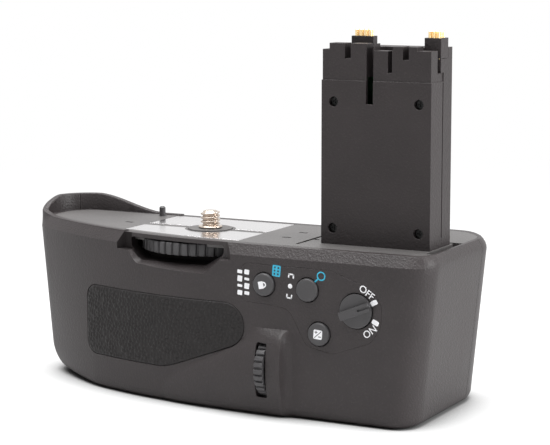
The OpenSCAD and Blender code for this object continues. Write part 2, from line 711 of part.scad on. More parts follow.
module contact_block(b, pins) {
    color("dimgray") difference() {
        union() {
            span([b[0], b[2], block_low - block_foot], [b[1], b[3], block_top]);
            span([b[0] - 0.8, b[2] + tower_wall + fit, block_low - block_foot], [b[0] + 1, b[3], block_low]);
        }
        for (p = pins) rod_z(p.x, p.y, pin_d / 2 + bore_fit, 0, big);
    }
}
module contact_pins(pins) {
    color("gold") for (p = pins) {
        rod_z(p.x, p.y, pin_d / 2, block_low - block_foot - pin_foot, block_top + pin_h - 0.3);
        translate([p.x, p.y, block_top + pin_h - 0.3]) cylinder(r1 = pin_d / 2, r2 = pin_d / 2 - 0.25, h = 0.3);
    }
}
module contact_block_left() { contact_block(block_left, pins_left); }
module contact_block_right() { contact_block(block_right, pins_right); }
module contact_pins_left() { contact_pins(pins_left); }
module contact_pins_right() { contact_pins(pins_right); }

module tower_circuit_board() {
    tcb_w = 21;
    color("darkgreen") span([tower_x - tcb_w / 2, tower_y1 - tower_wall - 1.3, tower_z0 + tower_wall + 0.1],
        [tower_x + tcb_w / 2, tower_y1 - tower_wall - 0.1, block_low - 5]);
}

// Attachment wheel and screw

shank_r = 3;
bush_r = 4.6;
ring_t = 0.5;
ring_proud = 0.3;
collar_t = 0.7;
collar_rad = screw_d / 2 + 0.7;
ridge_d = 0.7;
// Ridged rim: flat lands and grooves round a circle
function ridges(r, n, depth) = [for (i = [0:n - 1]) for (q = [[0.06, -depth], [0.2, 0], [0.7, 0], [0.84, -depth]])
    let (a = 360 * (i + q[0]) / n) [(r + q[1]) * cos(a), (r + q[1]) * sin(a)]];

module attachment_wheel() {
    color("dimgray") difference() {
        translate([0, 0, wheel_bot]) linear_extrude(wheel_t) polygon(ridges(wheel_r, wheel_ridges, ridge_d));
        rod_z(0, 0, shank_r + bore_fit, 0, big);
        difference() {
            rod_z(0, 0, wheel_r - 3.4, wheel_bot - 1, wheel_bot + wheel_t - 1.6);
            rod_z(0, 0, 7, wheel_bot - 2, wheel_top);
        }
    }
}

module attachment_screw() {
    color("silver") {
        rod_z(0, 0, shank_r, wheel_bot - clip_t - 0.3, deck_z + ring_proud + 0.1);
        rod_z(0, 0, collar_rad, deck_z + ring_proud + 0.1, screw_z0);
        rod_z(0, 0, screw_d / 2, screw_z0, screw_z0 + screw_h - 0.5);
        translate([0, 0, screw_z0 + screw_h - 0.5]) cylinder(r1 = screw_d / 2, r2 = screw_d / 2 - 0.5, h = 0.5);
    }
}
screw_z0 = deck_z + ring_proud + 0.1 + collar_t;

module screw_bush() {
    color("silver") difference() {
        union() {
            rod_z(0, 0, bush_r, wheel_top + 0.1, deck_z - ring_t);
            rod_z(0, 0, ring_r, deck_z - ring_t, deck_z + ring_proud);
        }
        rod_z(0, 0, shank_r + bore_fit, 0, big);
    }
}

module wheel_clip() {
    color("silver") difference() {
        rod_z(0, 0, shank_r + 2.2, wheel_bot - clip_t, wheel_bot);
        rod_z(0, 0, shank_r + bore_fit, 0, big);
        span([0, -1.6, 0], [big, 1.6, big]);
    }
}

// Controls on the rear wall

cap_proud = 1;
flange_t = 1;
flange_w = 0.9;
stem_r = 1.4;
switch_h = 2.4;
button_tip = board_y - switch_h - 0.1;

module round_button(at) {
    color("dimgray") {
        rod_y(at.x, at.y, button_d / 2, -rear_reach - cap_proud, rear_in + run);
        rod_y(at.x, at.y, button_d / 2 + flange_w, rear_in + run, rear_in + run + flange_t);
        rod_y(at.x, at.y, stem_r, rear_in + run, button_tip - button_travel);
    }
}
module lock_button() { round_button(lock_at); }
module focus_button() { round_button(focus_at); }
module exposure_button() { round_button(exposure_at); }

module button_switches() {
    color("black") for (b = buttons_at) {
        span([b.x - 2.6, board_y - switch_h, b.y - 2.6], [b.x + 2.6, board_y, b.y + 2.6]);
    }
}

board_x = [27, 37.5, 42, 77];
board_z = [18, 30, 33, 47.5];
module control_board() {
    color("darkgreen") difference() {
        slab_y([[board_x[0], board_z[2]], [board_x[1], board_z[2]], [board_x[1], board_z[1]],
            [board_x[2], board_z[1]], [board_x[2], board_z[0]], [board_x[3], board_z[0]],
            [board_x[3], board_z[3]], [board_x[0], board_z[3]]], board_y, board_y + board_t);
        for (p = post_at) rod_y(p.x, p.y, 0.8, board_y - 1, board_y + board_t + 1);
    }
}

knob_base = board_y - 3;
knob_shaft_r = 2;
module power_knob() {
    color("dimgray") {
        rod_y(knob_at.x, knob_at.y, knob_d / 2, -rear_reach - 0.6, rear_in + 0.4);
        rod_y(knob_at.x, knob_at.y, knob_shaft_r, rear_in + 0.4, board_y - 0.2);
        // Raised finger bar, at rest towards the off mark
        intersection() {
            rod_y(knob_at.x, knob_at.y, knob_d / 2, -rear_reach - 1.9, -rear_reach);
            translate([knob_at.x, 0, knob_at.y]) rotate([0, -22, 0]) difference() {
                span([-knob_d, -rear_reach - 1.9, -1.3], [knob_d, -rear_reach, 1.3]);
                span([1.2, -rear_reach - 3, -0.35], [knob_d, -rear_reach - 1.4, 0.35]);
            }
        }
    }
}

module power_switch() {
    color("black") difference() {
        span([knob_at.x - 5, knob_base, knob_at.y - 5], [knob_at.x + 5, board_y, knob_at.y + 5]);
        rod_y(knob_at.x, knob_at.y, knob_shaft_r + bore_fit, -40, 0);
    }
}

module command_dial() {
    color("black") difference() {
        translate([dial_x - dial_w / 2, dial_y, dial_z]) rotate([0, 90, 0])
            linear_extrude(dial_w) polygon(ridges(dial_r, dial_ridges, 0.6));
        rod_x(dial_y, dial_z, axle_r + bore_fit, 0, big);
    }
}

cheek_t = 1.6;
cheek_gap = dial_w / 2 + 0.4;
module dial_axle() {
    color("silver") rod_x(dial_y, dial_z, axle_r, dial_x - cheek_gap - cheek_t - 0.6, dial_x + cheek_gap + cheek_t + 0.6);
}

bracket_y = rear_in + 0.1 + quarter(wall, foot_round);
module dial_bracket() {
    color("silver") difference() {
        union() {
            for (s = [-1, 1]) translate([dial_x + s * (cheek_gap + cheek_t / 2), 0, 0])
                span([-cheek_t / 2, bracket_y, wall], [cheek_t / 2, dial_y + 5, dial_z + 3]);
            for (s = [-1, 1]) translate([dial_x + s * (cheek_gap + cheek_t / 2), 0, 0])
                rod_x(dial_y, dial_z, eye_r, -cheek_t / 2, cheek_t / 2);
            span([dial_x - cheek_gap - cheek_t, bracket_y, wall], [dial_x + cheek_gap + cheek_t, dial_y + 5, wall + 0.6]);
        }
        rod_x(dial_y, dial_z, axle_r + bore_fit, 0, big);
    }
}

// Shutter release on the hand grip

shutter_travel = 1;
shutter_proud = 1;
module shutter_collar() {
    color("silver") on_shutter() difference() {
        translate([0, 0, -2.2]) cylinder(r = collar_r, h = 2.8);
        translate([0, 0, -5]) cylinder(r = shutter_d / 2 + run, h = 10);
    }
}
module shutter_button() {
    color("black") on_shutter() {
        translate([0, 0, -2.4]) cylinder(r = shutter_d / 2, h = 2.4 + shutter_proud);
        translate([0, 0, -3.2]) cylinder(r = shutter_d / 2 + 0.8, h = 0.8);
        translate([0, 0, -4.4]) cylinder(r = 1.6, h = 1.5);
    }
}
module shutter_switch() {
    color("black") on_shutter() translate([0, 0, -9.5]) cylinder(r = shutter_d / 2 + 0.8, h = 3.9);
}

// Battery tray that pulls out of the left end

module battery_tray() {
    color("dimgray") {
        span([bay_x0 - tray_t, tray_y0, tray_z0], [tray_end, tray_y0 + tray_t, tray_z1]);
        span([bay_x0 - tray_t, tray_y0, tray_z0], [tray_end, tray_y1, tray_z0 + tray_t]);
        for (x = [bay_x0 - tray_t, bay_x1, bay_x3])
            span([x, tray_y0, tray_z0], [x + tray_t, tray_y1, tray_z1]);
    }
}

module tray_cap() {
    color("gray") difference() {
        intersection() {
            body_skin();
            span([-big, tray_y0, tray_z0], [cap_in, tray_y1, tray_z1]);
        }
        // Cored from the inside below the key
        span([core_x, tray_y0 + 5, tray_z0 + 13], [cap_in + 1, tray_y1 - 4, key_z - key_r - 1.5]);
        // Seat of the key and the path of its tongue
        rod_x(key_y, key_z, key_r + run, -big, key_x0 + key_t + 0.1);
        rod_x(key_y, key_z, key_shaft_r + bore_fit, -big, 0);
        span([tongue_x - 0.3, key_y - tongue_l - 1, key_z - 2.2], [cap_in + 1, key_y + 2.2, key_z + 2.2]);
        span([tongue_x - 0.3, key_y - 2.2, key_z - 2.2], [cap_in + 1, key_y + 2.2, big]);
        rod_x(key_y, key_z, tongue_l + 1, tongue_x - 0.3, cap_in + 1);
    }
}

key_r = 6.5;
key_t = 2.2;
key_x0 = -body_left + 4.2;
key_shaft_r = 1.8;
tongue_x = cap_in - 1.6;
core_x = -body_left + 8;
tongue_t = 1.2;
tongue_l = 11;
tongue_w = 3.4;
module lock_key() {
    color("black") {
        rod_x(key_y, key_z, key_r, key_x0, key_x0 + key_t);
        intersection() {
            rod_x(key_y, key_z, key_r, key_x0 - 1, key_x0 + 0.1);
            span([key_x0 - 1, key_y - key_r, key_z - 1.2], [key_x0 + 0.1, key_y + key_r, key_z + 1.2]);
        }
        rod_x(key_y, key_z, key_shaft_r, key_x0 + key_t - 0.1, tongue_x + tongue_t);
        span([tongue_x, key_y - tongue_l, key_z - tongue_w / 2], [tongue_x + tongue_t, key_y, key_z + tongue_w / 2]);
    }
}

blade_at = [12, 19, 26];
blade_w = 3;
blade_t = 0.4;
blade_y0 = tray_y0 + 5.4;
blade_y1 = blade_y0 + 8;
module tray_contacts() {
    color("goldenrod") {
        for (z = blade_at) {
            span([bay_x1 - blade_t, blade_y0, tray_z0 + z], [bay_x1, blade_y1, tray_z0 + z + blade_w]);
            span([bay_x3 - blade_t, blade_y0, tray_z0 + z], [bay_x3, blade_y1, tray_z0 + z + blade_w]);
            span([tray_end, blade_y0, tray_z0 + z], [tray_end + 0.3, blade_y1, tray_z0 + z + blade_w]);
        }
    }
}

dock_x = tray_end + 1.4;
dock_t = 3;
dock_y = [tray_y0 + 2.4, tray_y0 + 16.4];
dock_h = 34;
dock_foot = 2;
module dock_block() {
    color("black") {
        span([dock_x, dock_y[0], wall], [dock_x + dock_t, dock_y[1], tray_z0 + dock_h]);
        span([dock_x, dock_y[0], wall], [dock_x + 2 * dock_t, dock_y[1], wall + dock_foot]);
    }
}
module dock_contacts() {
    color("gold") for (z = blade_at)
        span([dock_x - 0.8, blade_y0 + 2, tray_z0 + z + 0.6], [dock_x, blade_y1 - 2, tray_z0 + z + 2.4]);
}

rear_housing();
front_cover();
deck_plate();
rear_shoe_plate();
front_shoe_plate();
locating_pin();
tower_base();
tower_rear_shell();
tower_front_shell();
tower_screws();
contact_block_left();
contact_block_right();
contact_pins_left();
contact_pins_right();
tower_circuit_board();
attachment_wheel();
attachment_screw();
screw_bush();
wheel_clip();
tripod_socket();
housing_screws();
palm_pad();
front_grip();
lock_button();
focus_button();
exposure_button();
button_switches();
control_board();
power_knob();
power_switch();
command_dial();
dial_axle();
dial_bracket();
shutter_button();
shutter_collar();
shutter_switch();
battery_tray();
tray_cap();
tray_contacts();
lock_key();
dock_block();
dock_contacts();
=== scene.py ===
import json
import math

import bmesh
import bpy
import numpy as np
from bpy.props import FloatProperty, FloatVectorProperty, IntProperty, PointerProperty
from mathutils import Matrix, Vector


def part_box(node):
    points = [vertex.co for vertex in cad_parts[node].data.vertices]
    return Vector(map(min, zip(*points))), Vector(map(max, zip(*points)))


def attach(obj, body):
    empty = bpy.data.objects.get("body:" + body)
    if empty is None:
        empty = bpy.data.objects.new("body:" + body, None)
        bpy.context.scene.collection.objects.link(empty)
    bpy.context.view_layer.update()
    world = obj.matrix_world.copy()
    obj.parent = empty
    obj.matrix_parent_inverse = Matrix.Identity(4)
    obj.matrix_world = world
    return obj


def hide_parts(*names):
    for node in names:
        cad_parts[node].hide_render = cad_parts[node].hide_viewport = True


bl_info = {
    "name": "Camera battery grip",
    "version": (1, 0, 0),
    "blender": (4, 5, 0),
    "location": "View3D > Sidebar > Grip",
    "description": "Dresses the packed battery grip with moulded casing, controls, finishes and a stage",
    "category": "Object",
}

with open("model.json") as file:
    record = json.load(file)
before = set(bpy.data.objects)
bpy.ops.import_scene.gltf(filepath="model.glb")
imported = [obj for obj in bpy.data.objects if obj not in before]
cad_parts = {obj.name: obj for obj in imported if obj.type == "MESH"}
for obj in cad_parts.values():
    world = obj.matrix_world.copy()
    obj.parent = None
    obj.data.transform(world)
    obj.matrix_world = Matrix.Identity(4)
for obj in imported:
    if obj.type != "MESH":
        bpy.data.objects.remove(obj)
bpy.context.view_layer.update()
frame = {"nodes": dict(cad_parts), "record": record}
NODES = frame["nodes"]
BODY_OF = {n: b for b, ns in frame["record"]["behaviour"]["bodies"].items() for n in ns}
MM = 0.001


def node_box(node):
    """Lowest and highest corner of a CAD node, in millimetres."""
    low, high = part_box(node)
    return np.array(low) / MM, np.array(high) / MM


# Casing form in millimetres: what the frame gives, and the rest as the construction has it
DECK_Z = node_box("deck_plate")[1][2]
DECK_UNDER = node_box("deck_plate")[0][2]
LEFT_DRAFT, RIGHT_DRAFT = 5.5, 5.5
BEVEL_H, BEVEL_D, SHOULDER_D, EDGE_BREAK = 3.4, 2.2, 2.0, 0.4
BODY_LEFT = LEFT_DRAFT * BEVEL_H / DECK_Z - node_box("rear_housing")[0][0]
BODY_RIGHT = RIGHT_DRAFT * BEVEL_H / DECK_Z + node_box("rear_housing")[1][0]
SWELL_REACH = node_box("front_cover")[1][1]
REAR_REACH = 25.0
FRONT_REACH = 24.0
WALL = 2.4
REAR_BOW = 150.0
REAR_FLAT_X = 83.7 - BODY_LEFT
LEFT_ROUND, RIGHT_ROUND, FOOT_ROUND = 10.0, 1.0, 3.0
END_RUN = 34.0
BEVEL_Z = DECK_Z - BEVEL_H
NECK_Z = DECK_UNDER - 2.2
NEAR_RIGHT_R, FAR_RIGHT_R, FAR_LEFT_R, NEAR_LEFT_R = 9.0, 16.0, 14.0, 11.0
SWELL_X0, SWELL_X1 = 34.0, 57.0
SEAM_Y, FIT, RUN = 18.2, 0.15, 0.3
DECK_BORDER, DECK_LEDGE = 4.6, 1.6
RIM_X, RIM_PEAK, RIM_LOW, RIM_T = -22.0, 5.8, 0.4, 2.2
RIM_ROUND, RIM_SUNK = 0.55, 0.6
THUMB_H, THUMB_TOP_Z, THUMB_PEAK_Z = 4.7, 27.5, 14.7
THUMB_RIDGE_X, THUMB_FLANK = 40.0, 3.2
THUMB_LEFT, THUMB_FOOT_Z, THUMB_FADE = (-4.0, 28.0), 4.0, 0.6
# The top of the thumb rest is fuller than in the construction, as the photo has it
THUMB_RISE, THUMB_SLOPE = 4.2, 0.65
LOFT_HUB = (SWELL_X0 + 6, 0.0)
BIG = 400.0


# Points and closed forms, all in millimetres until place() scales them

def lerp(a, b, t):
    return a + (b - a) * t


def smooth(t):
    u = np.clip(t, 0, 1)
    return u * u * (3 - 2 * u)


def arc(centre, r, a0, a1, n):
    """Points of an arc with their outward normals."""
    a = np.radians(np.linspace(a0, a1, n + 1))
    return np.column_stack([centre[0] + r * np.cos(a), centre[1] + r * np.sin(a), np.cos(a), np.sin(a)])


def straight(p, q, normal, n):
    """Points inside a straight stretch of the outline, its ends left out."""
    t = np.linspace(0, 1, n + 1)[1:-1, None]
    xy = np.array(p) + (np.array(q) - np.array(p)) * t
    return np.column_stack([xy, np.tile(normal, (len(xy), 1))])


def casing_outline():
    """Plan of the casing, counter-clockwise from the near right corner: x, y, nx, ny."""
    bow_c = (REAR_FLAT_X, REAR_BOW - REAR_REACH)
    left_x = NEAR_LEFT_R - BODY_LEFT
    left_c = (left_x, bow_c[1] - math.sqrt((REAR_BOW - NEAR_LEFT_R) ** 2 - (left_x - REAR_FLAT_X) ** 2))
    bow_a = 360 + math.degrees(math.atan2(left_c[1] - bow_c[1], left_c[0] - bow_c[0]))
    right_c = (BODY_RIGHT - FAR_RIGHT_R, SWELL_REACH - FAR_RIGHT_R)
    near_c = (BODY_RIGHT - NEAR_RIGHT_R, NEAR_RIGHT_R - REAR_REACH)
    far_c = (FAR_LEFT_R - BODY_LEFT, FRONT_REACH - FAR_LEFT_R)
    t = np.linspace(1, 0, 41)
    rise = SWELL_REACH - FRONT_REACH
    slope = rise * 6 * t * (1 - t) / (SWELL_X1 - SWELL_X0)
    length = np.sqrt(1 + slope ** 2)
    swell = np.column_stack([lerp(SWELL_X0, SWELL_X1, t), FRONT_REACH + rise * smooth(t),
                             -slope / length, 1 / length])
    ridge, flank_end = THUMB_RIDGE_X, THUMB_RIDGE_X + THUMB_FLANK
    return np.vstack([
        arc(near_c, NEAR_RIGHT_R, -90, 0, 20),
        straight((BODY_RIGHT, near_c[1]), (BODY_RIGHT, right_c[1]), (1, 0), 20),
        arc(right_c, FAR_RIGHT_R, 0, 90, 30),
        straight((right_c[0], SWELL_REACH), (SWELL_X1, SWELL_REACH), (0, 1), 8),
        swell,
        straight((SWELL_X0, FRONT_REACH), (far_c[0], FRONT_REACH), (0, 1), 40),
        arc(far_c, FAR_LEFT_R, 90, 180, 28),
        straight((-BODY_LEFT, far_c[1]), (-BODY_LEFT, left_c[1]), (-1, 0), 5),
        arc(left_c, NEAR_LEFT_R, 180, bow_a, 28),
        arc(bow_c, REAR_BOW, bow_a, 270, 70)[1:],
        straight((REAR_FLAT_X, -REAR_REACH), (ridge, -REAR_REACH), (0, -1), 52),
        straight((ridge, -REAR_REACH), (flank_end, -REAR_REACH), (0, -1), 16),
        straight((flank_end, -REAR_REACH), (near_c[0], -REAR_REACH), (0, -1), 20)])


OUTLINE = casing_outline()


def quarter(z, r):
    """How far a quarter round of radius r at the base is set in at height z."""
    return r - math.sqrt(max(0, r * r - (r - max(0, z)) ** 2)) if z < r else 0.0


def bevel_in(z, nx, ny):
    """Bevel along the rear of the deck and the rounder shoulder at the hand-grip end."""
    t = max(0.0, z - BEVEL_Z) / BEVEL_H
    bevel = (BEVEL_D - EDGE_BREAK) * t * smooth((-ny - 0.4) / 0.5)
    shoulder = (SHOULDER_D - EDGE_BREAK) * t * t * smooth((nx - 0.2) / 0.6)
    return EDGE_BREAK * t + np.maximum(bevel, shoulder)


def end_in(z, x):
    """Shift along X of the drafted ends, which round under the body."""
    left = LEFT_DRAFT * (1 - z / DECK_Z) + quarter(z, LEFT_ROUND)
    right = RIGHT_DRAFT * (1 - z / DECK_Z) + quarter(z, RIGHT_ROUND)
    near_left = np.maximum(0, 1 - (x + BODY_LEFT) / END_RUN)
    near_right = np.maximum(0, 1 - (BODY_RIGHT - x) / END_RUN)
    return left * near_left - right * near_right


def thumb(x, z):
    """How far the thumb rest stands out of the rear wall."""
    if z > THUMB_PEAK_Z:
        t = max(0, (THUMB_TOP_Z - z) / (THUMB_TOP_Z - THUMB_PEAK_Z))
        rise = 1 - (1 - min(1, t)) ** THUMB_RISE
    else:
        rise = 1 - THUMB_FADE * smooth((THUMB_PEAK_Z - z) / THUMB_PEAK_Z)
    left = lerp(*THUMB_LEFT, smooth((z - THUMB_FOOT_Z) / (THUMB_TOP_Z - THUMB_FOOT_Z)))
    flank = np.maximum(0, 1 - (x - THUMB_RIDGE_X) / THUMB_FLANK) ** 2
    lean = (x - left) / (THUMB_RIDGE_X - left)
    slope = np.clip(lean, 0, 1) ** THUMB_SLOPE
    return THUMB_H * rise * np.where(x > THUMB_RIDGE_X, flank, slope)


def skin(z, t=0.0):
    """Ring of the casing's skin at height z, set in by t."""
    x, y, nx, ny = OUTLINE.T
    inset = t + quarter(z, FOOT_ROUND) + bevel_in(z, nx, ny)
    out = np.where((ny < -0.9) & (t == 0), thumb(x, z), 0)
    return np.column_stack([x - nx * inset + end_in(z, x), y - ny * inset - out, np.full(len(x), z)])


def deck_plan(t):
    """Deck opening: a narrower border at the hand-grip end."""
    x, y, nx, ny = OUTLINE.T
    b = t - (DECK_BORDER - 3) * np.maximum(0, np.maximum(nx, ny))
    return np.column_stack([x - nx * b, y - ny * b])


def plan(t):
    """Plan of the casing, set in by t."""
    return OUTLINE[:, :2] - OUTLINE[:, 2:] * t


def linked(name, data):
    """New object with the given data, in the scene."""
    obj = bpy.data.objects.new(name, data)
    bpy.context.scene.collection.objects.link(obj)
    return obj


def discard(obj):
    mesh = obj.data
    bpy.data.objects.remove(obj)
    bpy.data.meshes.remove(mesh)


def shown_mesh(obj):
    """New mesh of obj with its modifiers, or its letters, worked in."""
    graph = bpy.context.evaluated_depsgraph_get()
    return bpy.data.meshes.new_from_object(obj.evaluated_get(graph))


def form(name, verts, faces):
    """A mesh object of its own, in millimetres, with its faces turned outward."""
    mesh = bpy.data.meshes.new(name)
    mesh.from_pydata([tuple(v) for v in verts], [], [tuple(int(i) for i in f) for f in faces])
    bm = bmesh.new()
    bm.from_mesh(mesh)
    bmesh.ops.remove_doubles(bm, verts=bm.verts, dist=1e-5)
    bmesh.ops.recalc_face_normals(bm, faces=bm.faces)
    bm.to_mesh(mesh)
    bm.free()
    return linked(name, mesh)


def loft(name, rings, hub=None, loop=False):
    """Rings of equal count joined in order: with loop last to first, else fans or caps close the ends."""
    n, m = len(rings[0]), len(rings)
    verts = np.vstack(rings)
    faces = []
    for k in range(m if loop else m - 1):
        a, b = k * n, (k + 1) % m * n
        faces += [(a + i, a + (i + 1) % n, b + (i + 1) % n, b + i) for i in range(n)]
    if not loop:
        if hub is None:
            faces += [tuple(range(n)), tuple(range((m - 1) * n, m * n))]
        else:
            verts = np.vstack([verts, [(*hub, rings[0][0][2]), (*hub, rings[-1][0][2])]])
            low, high = n * m, n * m + 1
            faces += [(low, i, (i + 1) % n) for i in range(n)]
            faces += [(high, (m - 1) * n + (i + 1) % n, (m - 1) * n + i) for i in range(n)]
    return form(name, verts, faces)


def set_at(pts, d, axis):
    """Plane points set at d along an axis: xy points along z, xz points along y, yz points along x."""
    return np.insert(np.asarray(pts, float), "xyz".index(axis), d, axis=1)


def prism(name, pts, a, b, axis="z"):
    """Outline drawn from a to b along an axis."""
    return loft(name, [set_at(pts, a, axis), set_at(pts, b, axis)])


def rect(x0, y0, x1, y1):
    return [(x0, y0), (x1, y0), (x1, y1), (x0, y1)]


def block(a, b):
    return prism("block", rect(*a[:2], *b[:2]), a[2], b[2])


def angles(n):
    return np.linspace(0, 2 * math.pi, n, endpoint=False)


def circle(c, r, n=64):
    a = angles(n)
    return np.column_stack([c[0] + r * np.cos(a), c[1] + r * np.sin(a)])


def rod(c, r, a, b, axis="z", n=64):
    return prism("rod", circle(c, r, n), a, b, axis)


def ring(a, radius, z):
    """Points about Z at the angles a, with one radius or one for each angle."""
    radius = np.broadcast_to(radius, a.shape)
    return np.column_stack([radius * np.cos(a), radius * np.sin(a), np.full(len(a), z)])


def turned(name, profile, matrix):
    """Solid of revolution about Z from radius and height pairs, then set in place by a matrix."""
    a = angles(64)
    obj = loft(name, [ring(a, r, z) for r, z in profile])
    obj.data.transform(matrix)
    return obj


def carve(obj, cutters, how="DIFFERENCE"):
    """Cuts, joins or trims obj by closed forms, which are then deleted."""
    for c in cutters:
        m = obj.modifiers.new("carve", "BOOLEAN")
        m.object, m.operation, m.solver = c, how, "MANIFOLD"
    mesh, old = shown_mesh(obj), obj.data
    obj.modifiers.clear()
    obj.data = mesh
    bpy.data.meshes.remove(old)
    for c in cutters:
        discard(c)
    return obj


def place(obj, name, node, material, stands_for=True, sharp=30.0):
    """Scales a piece to metres, smooths it and lets it ride with the body of a node."""
    obj.data.transform(Matrix.Scale(MM, 4))
    obj.name = obj.data.name = name
    obj.data.shade_smooth()
    obj.data.set_sharp_from_angle(angle=math.radians(sharp))
    obj.data.materials.clear()
    obj.data.materials.append(material)
    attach(obj, BODY_OF[node])
    if stands_for:
        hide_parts(node)
    return obj


# Casing

SCOOP_TOP, SCOOP_LOW, SCOOP_RIM, SCOOP_BACK = (-21.0, 18.5), (-17.0, 12.0), 2.4, -13.0
SCOOP_Z = DECK_Z - 10.2
WHEEL_ROOF = DECK_Z - 1.4
WHEEL_R = node_box("attachment_wheel")[1][0]
WHEEL_BOT = node_box("attachment_wheel")[0][2]
WHEEL_ROOM = 0.4
SCOOP_NEAR = -REAR_REACH - 6
# How far each ring of the scoop is set in, and its depth from the rear wall
SCOOP_STEPS = ((0.0, 0.4), (0.5, 1.4), (1.4, 3.2), (SCOOP_RIM, 5.0))
SCOOP_ROUNDS = (0.8, 2.5, 4, 4, 2.5, 0.8)
# Reach of the upright face's slanted ends past the scoop
UPRIGHT_LEFT, UPRIGHT_RIGHT = 4.0, 3.0


def middle(node):
    low, high = node_box(node)
    return (low + high) / 2


def rounded(points, radii, n=6):
    """Closed outline whose corners are rounded by the given radii."""
    out = []
    pts = [np.array(p, float) for p in points]
    for i, p in enumerate(pts):
        a, b, r = pts[i - 1], pts[(i + 1) % len(pts)], radii[i]
        da, db = (a - p) / np.linalg.norm(a - p), (b - p) / np.linalg.norm(b - p)
        if r <= 0:
            out.append(p)
            continue
        half = math.acos(np.clip(da @ db, -1, 1)) / 2
        d = min(r / math.tan(half), 0.49 * min(np.linalg.norm(a - p), np.linalg.norm(b - p)))
        s, e = p + da * d, p + db * d
        for t in np.linspace(0, 1, n + 1):
            out.append((1 - t) ** 2 * s + 2 * t * (1 - t) * p + t * t * e)
    return np.array(out)


def scoop_outline(g):
    """Outline of the scoop in the rear wall, set in by g."""
    top, bend, low = WHEEL_ROOF + 0.1, BEVEL_Z - 1, SCOOP_Z + g * 0.7
    left, right = SCOOP_TOP[0] + g, SCOOP_TOP[1] - g
    return rounded([(left, top), (left, bend), (SCOOP_LOW[0] + g, low),
                    (SCOOP_LOW[1] - g, low), (right, bend), (right, top)], SCOOP_ROUNDS)


def scoop_cutters():
    """Finger scoop, the wheel's room and the upright face over it."""
    steps = [(0.0, SCOOP_NEAR)] + [(g, -REAR_REACH + depth) for g, depth in SCOOP_STEPS]
    rings = [set_at(scoop_outline(g), y, "y") for g, y in steps]
    x0, x1 = SCOOP_TOP
    left, right = x0 - UPRIGHT_LEFT, x1 + UPRIGHT_RIGHT
    facets = [(left, SCOOP_NEAR), (right, SCOOP_NEAR), (right, -25.3), (x1, -22.3),
              (x1, -10), (x0, -10), (x0, -17.4), (left, -21.8)]
    upright = prism("upright", facets, BEVEL_Z - 2, DECK_Z + 1)
    carve(upright, [prism("plan", plan(BEVEL_D + 0.1), BEVEL_Z - 3, DECK_Z + 3)])
    return [loft("scoop", rings),
            prism("scoop_room", scoop_outline(SCOOP_RIM), SCOOP_NEAR, SCOOP_BACK, "y"),
            rod((0, 0), WHEEL_R + WHEEL_ROOM, WHEEL_BOT - RUN, WHEEL_ROOF, n=160), upright]


def rim_form():
    """Rim that wraps the camera's left end, with a rounded top."""
    line = OUTLINE[OUTLINE[:, 0] < RIM_X]
    x, y, nx, ny = line.T
    h = lerp(RIM_LOW, RIM_PEAK, smooth(np.where(ny > 0.2, (-30 - x) / 28, (y + 6) / 20)))
    b = bevel_in(DECK_Z, nx, ny)
    foot = DECK_Z - RIM_SUNK
    rings = []
    for i in range(len(line)):
        top = DECK_Z + h[i]
        e = min(RIM_ROUND, h[i] * 0.8)
        sect = [(0, foot), (0, top - e), (e * 0.3, top - e * 0.3), (e, top), (RIM_T - e, top),
                (RIM_T - e * 0.3, top - e * 0.3), (RIM_T, top - e), (RIM_T, foot)]
        rings.append(np.array([(x[i] - nx[i] * (b[i] + d), y[i] - ny[i] * (b[i] + d), z) for d, z in sect]))
    return loft("rim", rings)


# The pad reaches further left than its node, as the photo has it
PAD_X, PAD_Z = (-38.2, 25.9), (11.4, 34.3)
PAD_CORNER, PAD_LOBE, PAD_LOW_X, PAD_DIAG = 4.5, 7.2, -3.0, -70.0
PAD_OUT, PAD_SUNK = 0.5, 0.9
# Low edge of the pad's right lobe, from PAD_LOW_X
PAD_TAIL = ((-2.6, 0), (-1.2, 0.1), (0, 0.4), (2.5, 0.95))
GRIP_X, GRIP_Z, GRIP_ROUND = (SWELL_X0, 63.5), (9.0, 45.0), 2.0


def pad_outline(g):
    """Outline of the palm pad, set in by g."""
    return np.vstack([
        arc((PAD_X[1] - PAD_LOBE, PAD_Z[1] - PAD_LOBE), PAD_LOBE - g, PAD_DIAG, 90, 30)[:, :2],
        arc((PAD_X[0] + PAD_CORNER, PAD_Z[1] - PAD_CORNER), PAD_CORNER - g, 90, 180, 16)[:, :2],
        arc((PAD_X[0] + PAD_CORNER, PAD_Z[0] + PAD_CORNER), PAD_CORNER - g, 180, 270, 16)[:, :2],
        [(PAD_LOW_X + a, PAD_Z[0] + g + b) for a, b in PAD_TAIL]])


def grip_outline(g):
    """Outline of the front grip, set in by g."""
    return rounded(rect(GRIP_X[0] + g, GRIP_Z[0] + g, GRIP_X[1] - g, GRIP_Z[1] - g), [GRIP_ROUND] * 4)


def strip_line(front):
    """Stretch of the outline behind the front grip or the palm pad."""
    x, ny = OUTLINE[:, 0], OUTLINE[:, 3]
    if front:
        return OUTLINE[(ny > 0.7) & (x > SWELL_X0 - 2) & (x < 66)]
    return OUTLINE[(ny < -0.8) & (x > -46) & (x < 44)]


def strip_form(front, t0, t1):
    """Band of the casing's wall between two depths."""
    line = strip_line(front)
    a = line[:, :2] - line[:, 2:] * t0
    b = line[:, :2] - line[:, 2:] * t1
    return prism("strip", np.vstack([a, b[::-1]]), 0, DECK_Z)


def recess(front):
    """Cutter for the seat of a pad."""
    edge = grip_outline(-FIT) if front else pad_outline(-FIT)
    band = strip_form(front, -6, PAD_SUNK)
    return carve(band, [prism("edge", edge, -60, 60, "y")], "INTERSECT")


SHOE_X = (node_box("rear_shoe_plate")[0][0], node_box("rear_shoe_plate")[1][0])
